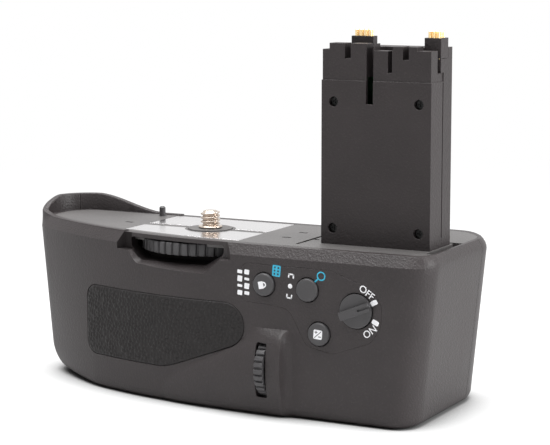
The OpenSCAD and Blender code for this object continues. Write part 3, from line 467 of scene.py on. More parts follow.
# The rear plate's edge is set in further than its node, as the photo has it
SHOE_T, SHOE_SET_IN = 0.5, 4.8
SHOE_INNER = {-1: node_box("rear_shoe_plate")[1][1], 1: node_box("front_shoe_plate")[0][1]}
SHOE_FAR_Y = node_box("front_shoe_plate")[1][1]
BUSH_R = node_box("screw_bush")[1][0]
NOTCH_R = BUSH_R + 0.9


def shoe_outline(side, g):
    """Smooth plate on one side of the screw, cut round the screw's ring; g widens it to its seat."""
    x0, x1, y = SHOE_X[0] - g, SHOE_X[1] + g, SHOE_INNER[side] - side * g
    r = NOTCH_R + FIT - g
    h = math.degrees(math.acos(abs(y) / r))
    notch = [(side * r * math.sin(a), side * r * math.cos(a))
             for a in np.radians(np.linspace(-h, h, 33))]
    if side > 0:
        return np.array([(x1, SHOE_FAR_Y + g), (x0, SHOE_FAR_Y + g), (x0, y), *notch, (x1, y)])
    ox, oy, nx, ny = OUTLINE.T
    keep = (ny < -0.85) & (ox > x0) & (ox < x1)
    t = BEVEL_D + SHOE_SET_IN - g
    rear = np.column_stack([ox - nx * t, oy - ny * t])[keep]
    return np.vstack([rear, [(x1, rear[-1][1]), (x1, y)], notch, [(x0, y), (x0, rear[0][1])]])


BUTTONS = ("lock_button", "focus_button", "exposure_button")
TRAY_LOW, TRAY_HIGH = node_box("tray_cap")
CAP_IN = TRAY_HIGH[0]
KEY_AT, KEY_R = (9.0, 36.0), 6.5
SHUTTER_A = 80.0
SHUTTER_AT = (BODY_RIGHT - FAR_RIGHT_R + FAR_RIGHT_R * math.cos(math.radians(SHUTTER_A)),
              SWELL_REACH - FAR_RIGHT_R + FAR_RIGHT_R * math.sin(math.radians(SHUTTER_A)), 34.0)
SHUTTER_FRAME = (Matrix.Translation(SHUTTER_AT) @ Matrix.Rotation(math.radians(SHUTTER_A), 4, "Z")
                 @ Matrix.Rotation(math.radians(90), 4, "Y"))
SHUTTER_R = 4.5
SCREWS_AT, SCREW_HEAD_R, SCREW_SUNK = ((-26, 12), (-22, -8), (24, -17), (60, -14)), 2.2, 1.4
SOCKET_R, BUTTON_R, KNOB_R = 6.5, 3.6, 5.25
DIAL_SLOT, DIAL_SLOT_ROUND, DIAL_HALF = (1.99, 8.6), 0.8, 2.0
REAR_HOLE = (-40, -18)
FOOT_ROOM = 0.6


def on_shutter(r, a, b):
    return turned("seat", [(r, a), (r, b)], SHUTTER_FRAME)


def skin_heights():
    return np.unique(np.concatenate([
        FOOT_ROUND * (1 - np.cos(np.linspace(0, math.pi / 2, 9))),
        np.linspace(FOOT_ROUND, LEFT_ROUND + 1, 10), np.linspace(LEFT_ROUND + 1, THUMB_PEAK_Z, 5),
        np.linspace(THUMB_PEAK_Z, THUMB_TOP_Z, 34), np.linspace(THUMB_TOP_Z, BEVEL_Z, 9),
        np.linspace(BEVEL_Z, DECK_Z, 5)]).round(4))


def casing_skin():
    return loft("casing", [skin(z) for z in skin_heights()], LOFT_HUB)


def foot_room(right, top):
    """Cutter for the tower's foot, open to the given right end and top."""
    low, high = node_box("tower_base")
    return block((low[0] - FOOT_ROOM, low[1] - FOOT_ROOM, low[2]), (right, high[1] + FOOT_ROOM, top))


def shoe_seats(top):
    return [prism("shoe", shoe_outline(side, FIT), DECK_Z - SHOE_T, top) for side in (-1, 1)]


def control_openings():
    """Cutters for the buttons, the knob and the dial."""
    holes = [(middle(b), BUTTON_R) for b in BUTTONS] + [(middle("power_knob"), KNOB_R)]
    cuts = [rod((c[0], c[2]), r + RUN, *REAR_HOLE, "y") for c, r in holes]
    low, high = node_box("command_dial")
    x, y, z = middle("command_dial")
    cuts.append(rod((y, z), (high[2] - low[2]) / 2 + RUN, x - DIAL_HALF, x + DIAL_HALF, "x", 128))
    slot = rect(x - DIAL_SLOT[0], z - DIAL_SLOT[1], x + DIAL_SLOT[0], z + DIAL_SLOT[1])
    cuts.append(prism("dial_slot", rounded(slot, [DIAL_SLOT_ROUND] * 4), -BIG, -REAR_REACH + 1, "y"))
    return cuts


def casing_form():
    """Whole moulded casing before it is split: skin, hollow, rim and every opening."""
    body = casing_skin()
    hollow = loft("hollow", [skin(min(z, BEVEL_Z), WALL) + [0, 0, max(0, z - BEVEL_Z)]
                             for z in (WALL, WALL + 4, LEFT_ROUND + WALL, NECK_Z)], LOFT_HUB)
    carve(hollow, [block((SCOOP_TOP[0] - 3, -REAR_REACH - 3, SCOOP_Z - 2),
                         (SCOOP_TOP[1] + 3, SCOOP_BACK + 1.6, NECK_Z + 1))])
    carve(body, [hollow, prism("neck", deck_plan(DECK_BORDER + DECK_LEDGE), NECK_Z - 1, DECK_Z + 9),
                 prism("deck", deck_plan(DECK_BORDER), DECK_UNDER, DECK_Z + 9)])
    carve(body, [rim_form()], "UNION")
    cuts = scoop_cutters() + control_openings() + [recess(False), recess(True)] + shoe_seats(DECK_Z + 9)
    cuts += [foot_room(node_box("tower_rear_shell")[1][0] + FOOT_ROOM, DECK_Z + 1), panel_line(),
             rod((0, 0), SOCKET_R + FIT, -1, WALL + 1)]
    cuts += [rod(at, SCREW_HEAD_R + FIT, -1, SCREW_SUNK, n=40) for at in SCREWS_AT]
    cuts += [block((-BIG, TRAY_LOW[1] - RUN, TRAY_LOW[2] - RUN),
                   (CAP_IN + 7, TRAY_HIGH[1] + RUN, TRAY_HIGH[2] + RUN)),
             on_shutter(SHUTTER_R + 2 + FIT, -2.2, 5.8), on_shutter(SHUTTER_R + 1, -10, 2)]
    return carve(body, cuts)


# Printed marks and the shallow line round the controls

def offset(pts, d):
    """Closed outline moved out along its corner normals."""
    pts = np.asarray(pts, float)
    run = np.roll(pts, -1, axis=0) - np.roll(pts, 1, axis=0)
    run /= np.linalg.norm(run, axis=1)[:, None]
    return pts + np.column_stack([run[:, 1], -run[:, 0]]) * d


def ring_y(pts, half, a, b):
    """Closed band of the given half width along an XZ outline, from y = a to y = b."""
    rings = [set_at(offset(pts, d), y, "y") for d, y in ((half, a), (half, b), (-half, b), (-half, a))]
    return loft("band", rings, loop=True)


# Corners of the line round the controls, and their radii
PANEL = ((25.0, 47.4), (55.5, 47.2), (66.5, 43.6), (72.6, 38.9), (72.6, 31.6),
         (69.5, 26.2), (56.5, 21.5), (47.5, 23.2), (41.5, 34.4), (24.5, 35.6))
PANEL_ROUNDS = (3, 6, 6, 5, 5, 6, 4, 5, 6, 3)
PANEL_HALF_W, PANEL_DEEP = 0.11, 0.1


def panel_line():
    return ring_y(rounded(PANEL, PANEL_ROUNDS), PANEL_HALF_W, -REAR_REACH - 1, -REAR_REACH + PANEL_DEEP)


def facing_rear(x, y, z):
    """Matrix that turns a form made about +Z to face the rear at a place on the rear wall."""
    return Matrix.Translation((x, y, z)) @ Matrix.Rotation(math.radians(90), 4, "X")


def turn(pts, deg, at=(0, 0)):
    c, n = math.cos(math.radians(deg)), math.sin(math.radians(deg))
    return np.asarray(pts, float) @ np.array([[c, n], [-n, c]]) + np.array(at)


def tile(w, h, r, deg=0.0, at=(0, 0), shift=(0, 0)):
    """Rounded rectangle of w by h, moved by shift, turned and set at a place."""
    pts = rounded(rect(-w / 2, -h / 2, w / 2, h / 2), [r] * 4, 4)
    return turn(pts + np.array(shift), deg, at)


def word(text, h, deg, at, y0, y1):
    """Letters as thin solids on the rear wall, centred at a place."""
    curve = bpy.data.curves.new(text, "FONT")
    curve.body, curve.size = text, h / 0.73
    curve.align_x = "CENTER"
    curve.extrude = (y1 - y0) / 2
    curve.offset = 0.02
    obj = linked(text, curve)
    bpy.context.view_layer.update()
    mesh = shown_mesh(obj)
    bpy.data.objects.remove(obj)
    bpy.data.curves.remove(curve)
    mesh.transform(facing_rear(at[0], (y0 + y1) / 2, at[1]) @ Matrix.Rotation(math.radians(deg), 4, "Z")
                   @ Matrix.Translation((0, -h / 2, 0)))
    return linked(text, mesh)


def joined(name, objs):
    """One object from several."""
    bm = bmesh.new()
    for o in objs:
        bm.from_mesh(o.data)
        discard(o)
    mesh = bpy.data.meshes.new(name)
    bm.to_mesh(mesh)
    bm.free()
    return linked(name, mesh)


# Leather-grained rubber

ROLL_DROP, ROLL_RUN, GRAIN_FADE = 0.55, 0.35, 0.8


def leather(u, v, cell, seed):
    """Height from 0 to 1 of pebbled grain: domes between creases, by the two nearest seed points."""
    rng = np.random.RandomState(seed)
    gx, gy = int(np.ptp(u) / cell) + 5, int(np.ptp(v) / cell) + 5
    jitter = rng.rand(gx, gy, 2)
    lift = rng.rand(gx, gy)
    cu, cv = (u - u.min()) / cell + 2, (v - v.min()) / cell + 2
    iu, iv = np.floor(cu).astype(int), np.floor(cv).astype(int)
    d1, d2 = np.full(len(u), 9.0), np.full(len(u), 9.0)
    own = np.zeros(len(u))
    for a in (-1, 0, 1):
        for b in (-1, 0, 1):
            i, j = np.clip(iu + a, 0, gx - 1), np.clip(iv + b, 0, gy - 1)
            d = np.hypot(i + jitter[i, j, 0] - cu, j + jitter[i, j, 1] - cv)
            closer = d < d1
            d2 = np.where(closer, d1, np.minimum(d2, d))
            own = np.where(closer, lift[i, j], own)
            d1 = np.where(closer, d, d1)
    return smooth((d2 - d1) / 0.55) * (0.7 + 0.3 * own)


def edge_distance(p, outline):
    """Distance of points to a closed outline."""
    a, b = outline, np.roll(outline, -1, axis=0)
    best = np.full(len(p), 1e9)
    for s, e in zip(a, b):
        d = e - s
        t = np.clip(((p - s) @ d) / max(d @ d, 1e-12), 0, 1)
        best = np.minimum(best, np.linalg.norm(p - s - t[:, None] * d, axis=1))
    return best


def leather_pad(name, front, step, cell, depth, seed):
    """Grip pad on the casing's wall: a sheet trimmed to its outline, with rolled edges and a pebbled face."""
    line = strip_line(front)
    edge = grip_outline(0) if front else pad_outline(0)
    run = np.concatenate([[0], np.cumsum(np.linalg.norm(np.diff(line[:, :2], axis=0), axis=1))])
    s = np.linspace(0, run[-1], int(run[-1] / step) + 1)
    fine = np.column_stack([np.interp(s, run, line[:, k]) for k in range(4)])
    zs = np.arange(edge[:, 1].min() - 0.5, edge[:, 1].max() + 0.5, step)
    n, m = len(fine), len(zs)

    def sheet(t):
        xy = fine[:, :2] - fine[:, 2:] * t
        return np.column_stack([np.repeat(xy, m, axis=0), np.tile(zs, n)])

    verts = np.vstack([sheet(-PAD_OUT), sheet(PAD_SUNK - FIT)])
    faces, half = [], n * m
    for i in range(n - 1):
        for j in range(m - 1):
            q = [i * m + j, (i + 1) * m + j, (i + 1) * m + j + 1, i * m + j + 1]
            faces += [tuple(q), tuple(half + k for k in q[::-1])]
    border = [i * m for i in range(n)] + [(n - 1) * m + j for j in range(1, m)]
    border += [i * m + m - 1 for i in range(n - 2, -1, -1)] + list(range(m - 2, 0, -1))
    faces += [(a, b, half + b, half + a) for a, b in zip(border, border[1:] + border[:1])]
    pad = form(name, verts, faces)
    carve(pad, [prism("edge", edge, -60, 60, "y")], "INTERSECT")
    co = np.array([v.co for v in pad.data.vertices])
    # Depth of each point under the wall's own line, by the nearest point of that line
    near = np.array([np.argmin((fine[:, 0] - c[0]) ** 2 + (fine[:, 1] - c[1]) ** 2) for c in co])
    normal = fine[near, 2:]
    out = np.einsum("ij,ij->i", co[:, :2] - fine[near, :2], normal)
    face = out > PAD_OUT * 0.5
    d = edge_distance(co[:, [0, 2]], edge)
    grain = leather(s[near] + (co[:, 0] - fine[near, 0]), co[:, 2], cell, seed)
    roll = ROLL_DROP * np.exp(-d / ROLL_RUN)
    move = np.where(face, depth * (grain - 1) * smooth(d / GRAIN_FADE) - roll, 0)
    co[:, :2] += normal * move[:, None]
    pad.data.vertices.foreach_set("co", co.ravel())
    pad.data.update()
    return pad


# Turned and ridged pieces

def ridge_radius(a, r, count, depth, land=0.62):
    """Radius of a ridged rim: flat lands with rounded grooves between them."""
    f = np.abs((a / (2 * math.pi) * count) % 1 - 0.5) * 2
    return r - depth * (1 - smooth((f - (1 - land) * 0.35) / ((1 - land) * 0.8)))


def ridged_wheel(name, r, bore, half, count, depth, chamfer, dish, matrix):
    """Ridged wheel about Z: rim rings with broken edges, dished faces and a bore."""
    a = angles(count * 14)
    rim = ridge_radius(a, r, count, depth)
    inner = r - depth - 1.6
    side = [(bore, half - dish), (inner - 0.4, half - dish), (inner, half), (rim - chamfer, half),
            (rim - chamfer * 0.3, half - chamfer * 0.3), (rim, half - chamfer)]
    rings = [ring(a, q, z) for q, z in side] + [ring(a, q, -z) for q, z in side[::-1]]
    obj = loft(name, rings, loop=True)
    obj.data.transform(matrix)
    return obj


def threaded_screw(name, low, collar, collar_r, thread_z, top, major, minor, pitch, shank):
    """Attachment screw: shank, collar and a cut helical thread with a rounded tip."""
    a = angles(72)
    foot = [(shank, low), (shank, collar), (collar_r - 0.2, collar), (collar_r, collar + 0.2),
            (collar_r, thread_z - 0.2), (collar_r - 0.2, thread_z), (minor, thread_z)]
    tip = [(0.98, 0.42), (0.9, 0.15), (0.7, 0.03), (0.3, 0)]
    rings = [ring(a, r, z) for r, z in foot]
    for z in np.linspace(thread_z + 0.05, top - 0.5, 90):
        f = np.abs((z / pitch - a / (2 * math.pi)) % 1 - 0.5) * 2
        crest = np.clip((f - 0.1) / 0.62, 0, 1)
        fade = smooth((z - thread_z) / 0.6)
        rings.append(ring(a, lerp(minor, lerp(minor, major, crest), fade), z))
    rings += [ring(a, minor * k, top - drop) for k, drop in tip]
    return loft(name, rings)


# Shader node groups shared by the finishes

def new_group(name, inputs, outputs):
    """Empty shader group with float inputs and typed outputs."""
    g = bpy.data.node_groups.new(name, "ShaderNodeTree")
    for label, default in inputs:
        s = g.interface.new_socket(label, in_out="INPUT", socket_type="NodeSocketFloat")
        s.default_value = default
    for label, kind in outputs:
        g.interface.new_socket(label, in_out="OUTPUT", socket_type=kind)
    return g, g.nodes.new("NodeGroupInput"), g.nodes.new("NodeGroupOutput")


def math_node(tree, op, *values):
    """Output of a math node whose inputs are numbers or other outputs."""
    n = tree.nodes.new("ShaderNodeMath")
    n.operation = op
    for socket, v in zip(n.inputs, values):
        if isinstance(v, (int, float)):
            socket.default_value = v
        else:
            tree.links.new(v, socket)
    return n.outputs[0]


def ramp(tree, value, low, high):
    """Smooth step from 0 at low to 1 at high."""
    n = tree.nodes.new("ShaderNodeMapRange")
    n.interpolation_type = "SMOOTHSTEP"
    n.inputs["From Min"].default_value, n.inputs["From Max"].default_value = low, high
    tree.links.new(value, n.inputs["Value"])
    return n.outputs["Result"]


def moulded_grain_group():
    """Spark-eroded mould grain: fine pits over a slow swell, and a mask of brighter flecks."""
    outputs = [(label, "NodeSocketFloat") for label in ("Height", "Flecks", "Mottle")]
    g, i, o = new_group("moulded grain", [("Grain per metre", 2200.0)], outputs)
    at = g.nodes.new("ShaderNodeTexCoord").outputs["Object"]
    fine = g.nodes.new("ShaderNodeTexNoise")
    fine.inputs["Detail"].default_value = 2.0
    fine.inputs["Roughness"].default_value = 0.6
    g.links.new(at, fine.inputs["Vector"])
    g.links.new(i.outputs[0], fine.inputs["Scale"])
    cell = g.nodes.new("ShaderNodeTexVoronoi")
    g.links.new(at, cell.inputs["Vector"])
    g.links.new(math_node(g, "MULTIPLY", i.outputs[0], 0.8), cell.inputs["Scale"])
    slow = g.nodes.new("ShaderNodeTexNoise")
    slow.inputs["Scale"].default_value = 60.0
    slow.inputs["Detail"].default_value = 3.0
    g.links.new(at, slow.inputs["Vector"])
    pits = math_node(g, "MULTIPLY", cell.outputs["Distance"], 0.55)
    g.links.new(math_node(g, "ADD", fine.outputs["Fac"], pits), o.inputs["Height"])
    g.links.new(ramp(g, fine.outputs["Fac"], 0.54, 0.7), o.inputs["Flecks"])
    g.links.new(slow.outputs["Fac"], o.inputs["Mottle"])
    return g


def soft_edge_group():
    """Rounds the light at edges over a small radius, and gives a mask of those edges."""
    g, i, o = new_group("soft edge", [("Radius", 0.0003)],
                        [("Normal", "NodeSocketVector"), ("Edge", "NodeSocketFloat")])
    bevel = g.nodes.new("ShaderNodeBevel")
    bevel.samples = 4
    g.links.new(i.outputs[0], bevel.inputs["Radius"])
    flat = g.nodes.new("ShaderNodeNewGeometry")
    dot = g.nodes.new("ShaderNodeVectorMath")
    dot.operation = "DOT_PRODUCT"
    g.links.new(bevel.outputs[0], dot.inputs[0])
    g.links.new(flat.outputs["Normal"], dot.inputs[1])
    g.links.new(bevel.outputs[0], o.inputs["Normal"])
    bend = math_node(g, "SUBTRACT", 1.0, dot.outputs["Value"])
    g.links.new(ramp(g, bend, 0.012, 0.08), o.inputs["Edge"])
    return g


GROUPS = {}


def group(name):
    """Shared shader group, built when it is first asked for."""
    if name not in GROUPS:
        GROUPS[name] = {"grain": moulded_grain_group, "edge": soft_edge_group}[name]()
    return GROUPS[name]


# Finishes

def mix_colour(tree, fac, a, b):
    """Mix of two colours, each a tuple or another output."""
    n = tree.nodes.new("ShaderNodeMix")
    n.data_type = "RGBA"
    tree.links.new(fac, n.inputs["Factor"])
    for socket, v in ((n.inputs[6], a), (n.inputs[7], b)):
        if isinstance(v, tuple):
            socket.default_value = v
        else:
            tree.links.new(v, socket)
    return n.outputs[2]


def shade(rgb, k):
    return (*[c * k for c in rgb], 1.0)


# The edge tone lightens edges by the edge mask, partly as wear and partly as a painted highlight where edges
# catch the light
FLECK_TONE, WEAR_AND_HIGHLIGHT_TONE, ROUGH_SPREAD, GRAIN_HEIGHT = 2.2, 2.6, 0.14, 0.0002


def finish(name, rgb, rough, grain, bump, metallic=0.0, edge=0.3, wear_and_highlight=0.35, flecks=0.3, mottle=0.25,
           specular=0.5):
    """A finish with mould grain, colour mottle, flecks and paler edges, partly wear and partly a painted
    highlight where edges catch the light. The edge is in millimetres.
    """
    mat = bpy.data.materials.new(name)
    mat.use_nodes = True
    t = mat.node_tree
    p = t.nodes["Principled BSDF"]
    p.inputs["Metallic"].default_value = metallic
    p.inputs["Specular IOR Level"].default_value = specular
    g = t.nodes.new("ShaderNodeGroup")
    g.node_tree = group("grain")
    g.inputs["Grain per metre"].default_value = grain
    e = t.nodes.new("ShaderNodeGroup")
    e.node_tree = group("edge")
    e.inputs["Radius"].default_value = edge * MM
    tone = mix_colour(t, g.outputs["Mottle"], shade(rgb, 1 - mottle), shade(rgb, 1 + mottle))
    # Paler edges: partly wear, partly a painted highlight where the edge catches the light
    for mask, share, k in ((g.outputs["Flecks"], flecks, FLECK_TONE), (e.outputs["Edge"], wear_and_highlight, WEAR_AND_HIGHLIGHT_TONE)):
        tone = mix_colour(t, math_node(t, "MULTIPLY", mask, share), tone, shade(rgb, k))
    t.links.new(tone, p.inputs["Base Color"])
    r = math_node(t, "MULTIPLY_ADD", g.outputs["Mottle"], ROUGH_SPREAD, rough - ROUGH_SPREAD / 2)
    t.links.new(r, p.inputs["Roughness"])
    b = t.nodes.new("ShaderNodeBump")
    b.inputs["Strength"].default_value = bump
    b.inputs["Distance"].default_value = GRAIN_HEIGHT
    t.links.new(g.outputs["Height"], b.inputs["Height"])
    t.links.new(e.outputs["Normal"], b.inputs["Normal"])
    t.links.new(b.outputs["Normal"], p.inputs["Normal"])
    return mat


def colour(name, description, *rgb):
    return FloatVectorProperty(name=name, description=description, subtype="COLOR", default=rgb, min=0, max=1)


def length(name, description, default, low, high):
    return FloatProperty(name=name, description=description, default=default, min=low, max=high, unit="LENGTH")


def angle(name, description, degrees):
    return FloatProperty(name=name, description=description, subtype="ANGLE", default=math.radians(degrees))


def number(kind, name, description, default, low, high):
    return kind(name=name, description=description, default=default, min=low, max=high)


class GripFinishes(bpy.types.PropertyGroup):
    """Colours of the grip's materials."""
    casing: colour("Casing", "Moulded casing and tower", 0.029, 0.0243, 0.0248)
    deck: colour("Deck", "Deck plate", 0.07, 0.066, 0.065)
    shoe: colour("Shoe plates", "Smooth pale plates round the screw", 0.66, 0.645, 0.65)
    rubber: colour("Rubber", "Palm pad and front grip", 0.0105, 0.0088, 0.0088)
    control: colour("Controls", "Buttons, knob, dial and wheel", 0.05, 0.048, 0.05)
    gold: colour("Gold", "Contact pins and blades", 0.95, 0.72, 0.38)
    steel: colour("Steel", "Plain steel pieces", 0.55, 0.54, 0.53)
    dark: colour("Blackened steel", "Screws of the tower", 0.012, 0.012, 0.012)
    bright: colour("Bright metal", "Attachment screw", 0.62, 0.54, 0.47)
    board: colour("Circuit board", "Solder mask", 0.03, 0.16, 0.06)
    ink: colour("Ink", "White marks", 0.75, 0.75, 0.77)
    blue: colour("Blue ink", "Blue marks", 0.02, 0.36, 0.53)


class GripSizes(bpy.types.PropertyGroup):
    """Sizes of the modelled detail, in metres."""
    grain_cell: length("Leather cell", "Width of one pebble of the pads", 0.00135, 0.0005, 0.003)
    grain_depth: length("Leather depth", "Depth of the creases", 0.00042, 0, 0.0006)
    sheet_step: length("Leather mesh", "Spacing of the palm pad's mesh", 0.0003, 0.0002, 0.001)
    thread_pitch: length("Thread pitch", "Pitch of the attachment screw", 0.00127, 0.0005, 0.002)
    print_h: length("Ink height", "Height of the printed marks over the surface", 0.00003, 0, 0.0002)
    wheel_ridges: number(IntProperty, "Wheel ridges", "Ridges of the attachment wheel", 48, 20, 80)
    dial_ridges: number(IntProperty, "Dial ridges", "Ridges of the command dial", 28, 20, 60)


class GripStage(bpy.types.PropertyGroup):
    """Camera and light."""
    camera_at: FloatVectorProperty(name="Camera", description="Place of the camera", subtype="TRANSLATION",
                                   default=(0.3022, -0.5341, 0.1435))
    azimuth: angle("Azimuth", "Direction of the view round the grip", 27.535)
    elevation: angle("Elevation", "Height of the view over the horizon", 8.2155)
    lens: number(FloatProperty, "Lens", "Focal length in millimetres on a 36 mm sensor", 124.36, 20, 400)
    top: number(FloatProperty, "Top light", "Power of the light overhead", 20.0, 0, 200)
    side: number(FloatProperty, "Side light", "Power of the light at the hand-grip end", 12.0, 0, 200)
    fill: number(FloatProperty, "Fill light", "Power of the light by the camera", 0.4, 0, 200)
    ambient: number(FloatProperty, "Ambient", "Light of the surroundings", 0.07, 0, 2)


# Name, colour property, share of that colour, roughness, grain per metre, bump, and what else differs
FINISHES = {
    "casing": ("moulded casing", "casing", 1.0, 0.44, 1700.0, 0.5, dict(flecks=0.22, specular=0.3)),
    "tower": ("moulded tower", "casing", 0.95, 0.48, 1500.0, 0.45, dict(flecks=0.18, specular=0.25)),
    # Scoop faces: the casing colour at 0.45 with little specular, painted shade for the dark room under the
    # wheel
    "shade": ("smooth recess", "casing", 0.45, 0.6, 2000.0, 0.1, dict(flecks=0.1, specular=0.1)),
    "deck": ("deck plastic", "deck", 1.0, 0.5, 1700.0, 0.4, {}),
    "shoe": ("smooth plate", "shoe", 1.0, 0.2, 900.0, 0.01,
             dict(metallic=1.0, flecks=0.0, mottle=0.04, wear_and_highlight=0.0)),
    "rubber": ("grip rubber", "rubber", 1.0, 0.5, 2600.0, 0.2, dict(edge=0.1, wear_and_highlight=0.2, specular=0.3)),
    "control": ("satin control", "control", 1.0, 0.42, 3600.0, 0.05, dict(edge=0.2, flecks=0.1, specular=0.35)),
    "inner": ("inner plastic", "control", 1.0, 0.55, 2000.0, 0.08, dict(flecks=0.1)),
    "gold": ("gold contact", "gold", 1.0, 0.28, 3000.0, 0.02,
             dict(metallic=1.0, edge=0.08, flecks=0.0, wear_and_highlight=0.1, mottle=0.08)),
    "steel": ("plain steel", "steel", 1.0, 0.35, 3000.0, 0.04,
              dict(metallic=1.0, edge=0.1, flecks=0.05, wear_and_highlight=0.15, mottle=0.1)),
    "dark": ("blackened steel", "dark", 1.0, 0.5, 3000.0, 0.05,
             dict(metallic=0.3, edge=0.1, flecks=0.05, wear_and_highlight=0.1)),
    "bright": ("bright screw", "bright", 1.0, 0.2, 1500.0, 0.01,
               dict(metallic=1.0, edge=0.08, flecks=0.0, wear_and_highlight=0.05, mottle=0.05)),
    "board": ("solder mask", "board", 1.0, 0.35, 900.0, 0.03, dict(edge=0.1, flecks=0.1)),
    "ink": ("white ink", "ink", 1.0, 0.5, 4000.0, 0.02, dict(edge=0.02, flecks=0.0, wear_and_highlight=0.0, mottle=0.06)),
    "blue": ("blue ink", "blue", 1.0, 0.45, 4000.0, 0.02, dict(edge=0.02, flecks=0.0, wear_and_highlight=0.0, mottle=0.08)),
}
MATS = {}


def material(key):
    """Finish of a piece, made when it is first asked for."""
    if key not in MATS:
        name, source, share, rough, grain, bump, rest = FINISHES[key]
        rgb = shade(getattr(bpy.context.scene.grip_finishes, source), share)[:3]
        MATS[key] = finish(name, rgb, rough, grain, bump, **rest)
    return MATS[key]


def dress(key, *nodes):
    """Gives CAD nodes that are shown as they are their finish."""
    for node in nodes:
        slots = NODES[node].data.materials
        slots.clear()
        slots.append(material(key))


def sizes():
    return bpy.context.scene.grip_sizes


# Pieces

CASING_SHARP, WHEEL_SHARP, SCREW_SHARP, PAD_SHARP = 24, 40, 50, 60


def in_scoop(x, y, z):
    """Whether a point lies in the scoop's room, whose faces get painted shade."""
    return (SCOOP_LOW[0] - 6 < x < SCOOP_TOP[1] and -20 < y < SCOOP_BACK + 8
            and SCOOP_Z - 1 < z < WHEEL_ROOF + 0.05)


def cap_form():
    """End cap of the tray: the casing's own skin, with the key's seat and room for its tongue."""
    cap = casing_skin()
    carve(cap, [block((-BIG, TRAY_LOW[1], TRAY_LOW[2]), (CAP_IN, TRAY_HIGH[1], TRAY_HIGH[2]))], "INTERSECT")
    key_x, tongue_x, tongue_half = -BODY_LEFT + 4.2, CAP_IN - 1.9, 2.2
    return carve(cap, [rod(KEY_AT, KEY_R + RUN, -BIG, key_x + 2.3, "x"), rod(KEY_AT, 1.85, -BIG, 0, "x"),
                       rod(KEY_AT, 12.0, tongue_x, CAP_IN + 1, "x"),
                       block((tongue_x, KEY_AT[0] - tongue_half, KEY_AT[1]),
                             (CAP_IN + 1, KEY_AT[0] + tongue_half, BIG)),
                       block((-BODY_LEFT + 8, TRAY_LOW[1] + 5, TRAY_LOW[2] + 13),
                             (CAP_IN + 1, TRAY_HIGH[1] - 4, KEY_AT[1] - KEY_R - 1.5))])


class GRIP_OT_casing(bpy.types.Operator):
    """Moulded casing: rear housing, front cover and the tray's end cap"""
    bl_idname = "grip.casing"
    bl_label = "Casing"

    def execute(self, context):
        whole = casing_form()
        front = linked("front", whole.data.copy())
        carve(whole, [block((-BIG, SEAM_Y, -BIG), (BIG, BIG, BIG))])
        carve(front, [block((-BIG, -BIG, -BIG), (BIG, SEAM_Y + FIT, BIG))])
        place(whole, "casing_rear", "rear_housing", material("casing"), sharp=CASING_SHARP)
        # Faces in the scoop's room take the darker copy of the casing finish: painted shade
        whole.data.materials.append(material("shade"))
        for face in whole.data.polygons:
            if in_scoop(*(face.center / MM)):
                face.material_index = 1
        place(front, "casing_front", "front_cover", material("casing"), sharp=CASING_SHARP)
        place(cap_form(), "tray_end_cap", "tray_cap", material("casing"), sharp=CASING_SHARP)
        return {"FINISHED"}


SLOTS_AT, SLOT_HALF, SLOT_ROUND = ((-31.3, 0.5), (30.8, -5.5), (31.1, 5.6)), (1.55, 0.7), 0.3
ABOVE = 99.0


class GRIP_OT_deck(bpy.types.Operator):
    """Deck plate, smooth shoe plates, screw ring, locating peg and tower foot"""
    bl_idname = "grip.deck"
    bl_label = "Deck"

    def execute(self, context):
        deck = prism("deck", deck_plan(DECK_BORDER + FIT), DECK_UNDER, DECK_Z)
        tower_low, tower_high = node_box("tower_rear_shell")
        cuts = [rod((0, 0), WHEEL_R + WHEEL_ROOM, 0, WHEEL_ROOF, n=160), rod((0, 0), 4.75, 0, ABOVE),
                rod((0, 0), BUSH_R + FIT, DECK_Z - 0.5, ABOVE, n=96),
                rod(middle("locating_pin")[:2], 1.5, 0, ABOVE)]
        cuts += shoe_seats(ABOVE)
        w, d = SLOT_HALF
        cuts += [prism("slot", rounded(rect(x - w, y - d, x + w, y + d), [SLOT_ROUND] * 4), 0, ABOVE)
                 for x, y in SLOTS_AT]
        cuts += [foot_room(BIG, ABOVE), block((tower_low[0] + 4, tower_low[1] + 3, 0),
                                              (tower_high[0] - 4, tower_low[1] + 13, ABOVE))]
        place(carve(deck, cuts), "deck_surface", "deck_plate", material("deck"))
        for side, node in ((-1, "rear_shoe_plate"), (1, "front_shoe_plate")):
            plate = prism("plate", shoe_outline(side, 0), DECK_Z - SHOE_T, DECK_Z)
            place(plate, node.replace("shoe", "smooth"), node, material("shoe"))
        dress("deck", "tower_base", "screw_bush")
        dress("control", "locating_pin")
        return {"FINISHED"}


class GRIP_OT_tower(bpy.types.Operator):
    """Battery-bay tower, its screws, contact blocks and contact pins"""
    bl_idname = "grip.tower"
    bl_label = "Tower"

    def execute(self, context):
        dress("tower", "tower_rear_shell", "tower_front_shell", "contact_block_left", "contact_block_right")
        dress("dark", "tower_screws")
        dress("board", "tower_circuit_board")
        dress("gold", "contact_pins_left", "contact_pins_right")
        return {"FINISHED"}


WHEEL_BORE, WHEEL_GROOVE, WHEEL_CHAMFER, WHEEL_DISH = 3.05, 0.75, 0.45, 0.5
DIAL_BORE, DIAL_GROOVE, DIAL_CHAMFER, DIAL_DISH = 1.55, 0.7, 0.3, 0.3
THREAD_R, THREAD_ROOT, SHANK_R, COLLAR_R = 3.175, 2.45, 3.0, 3.875
THREAD_H, COLLAR_H = 5.0, 0.7


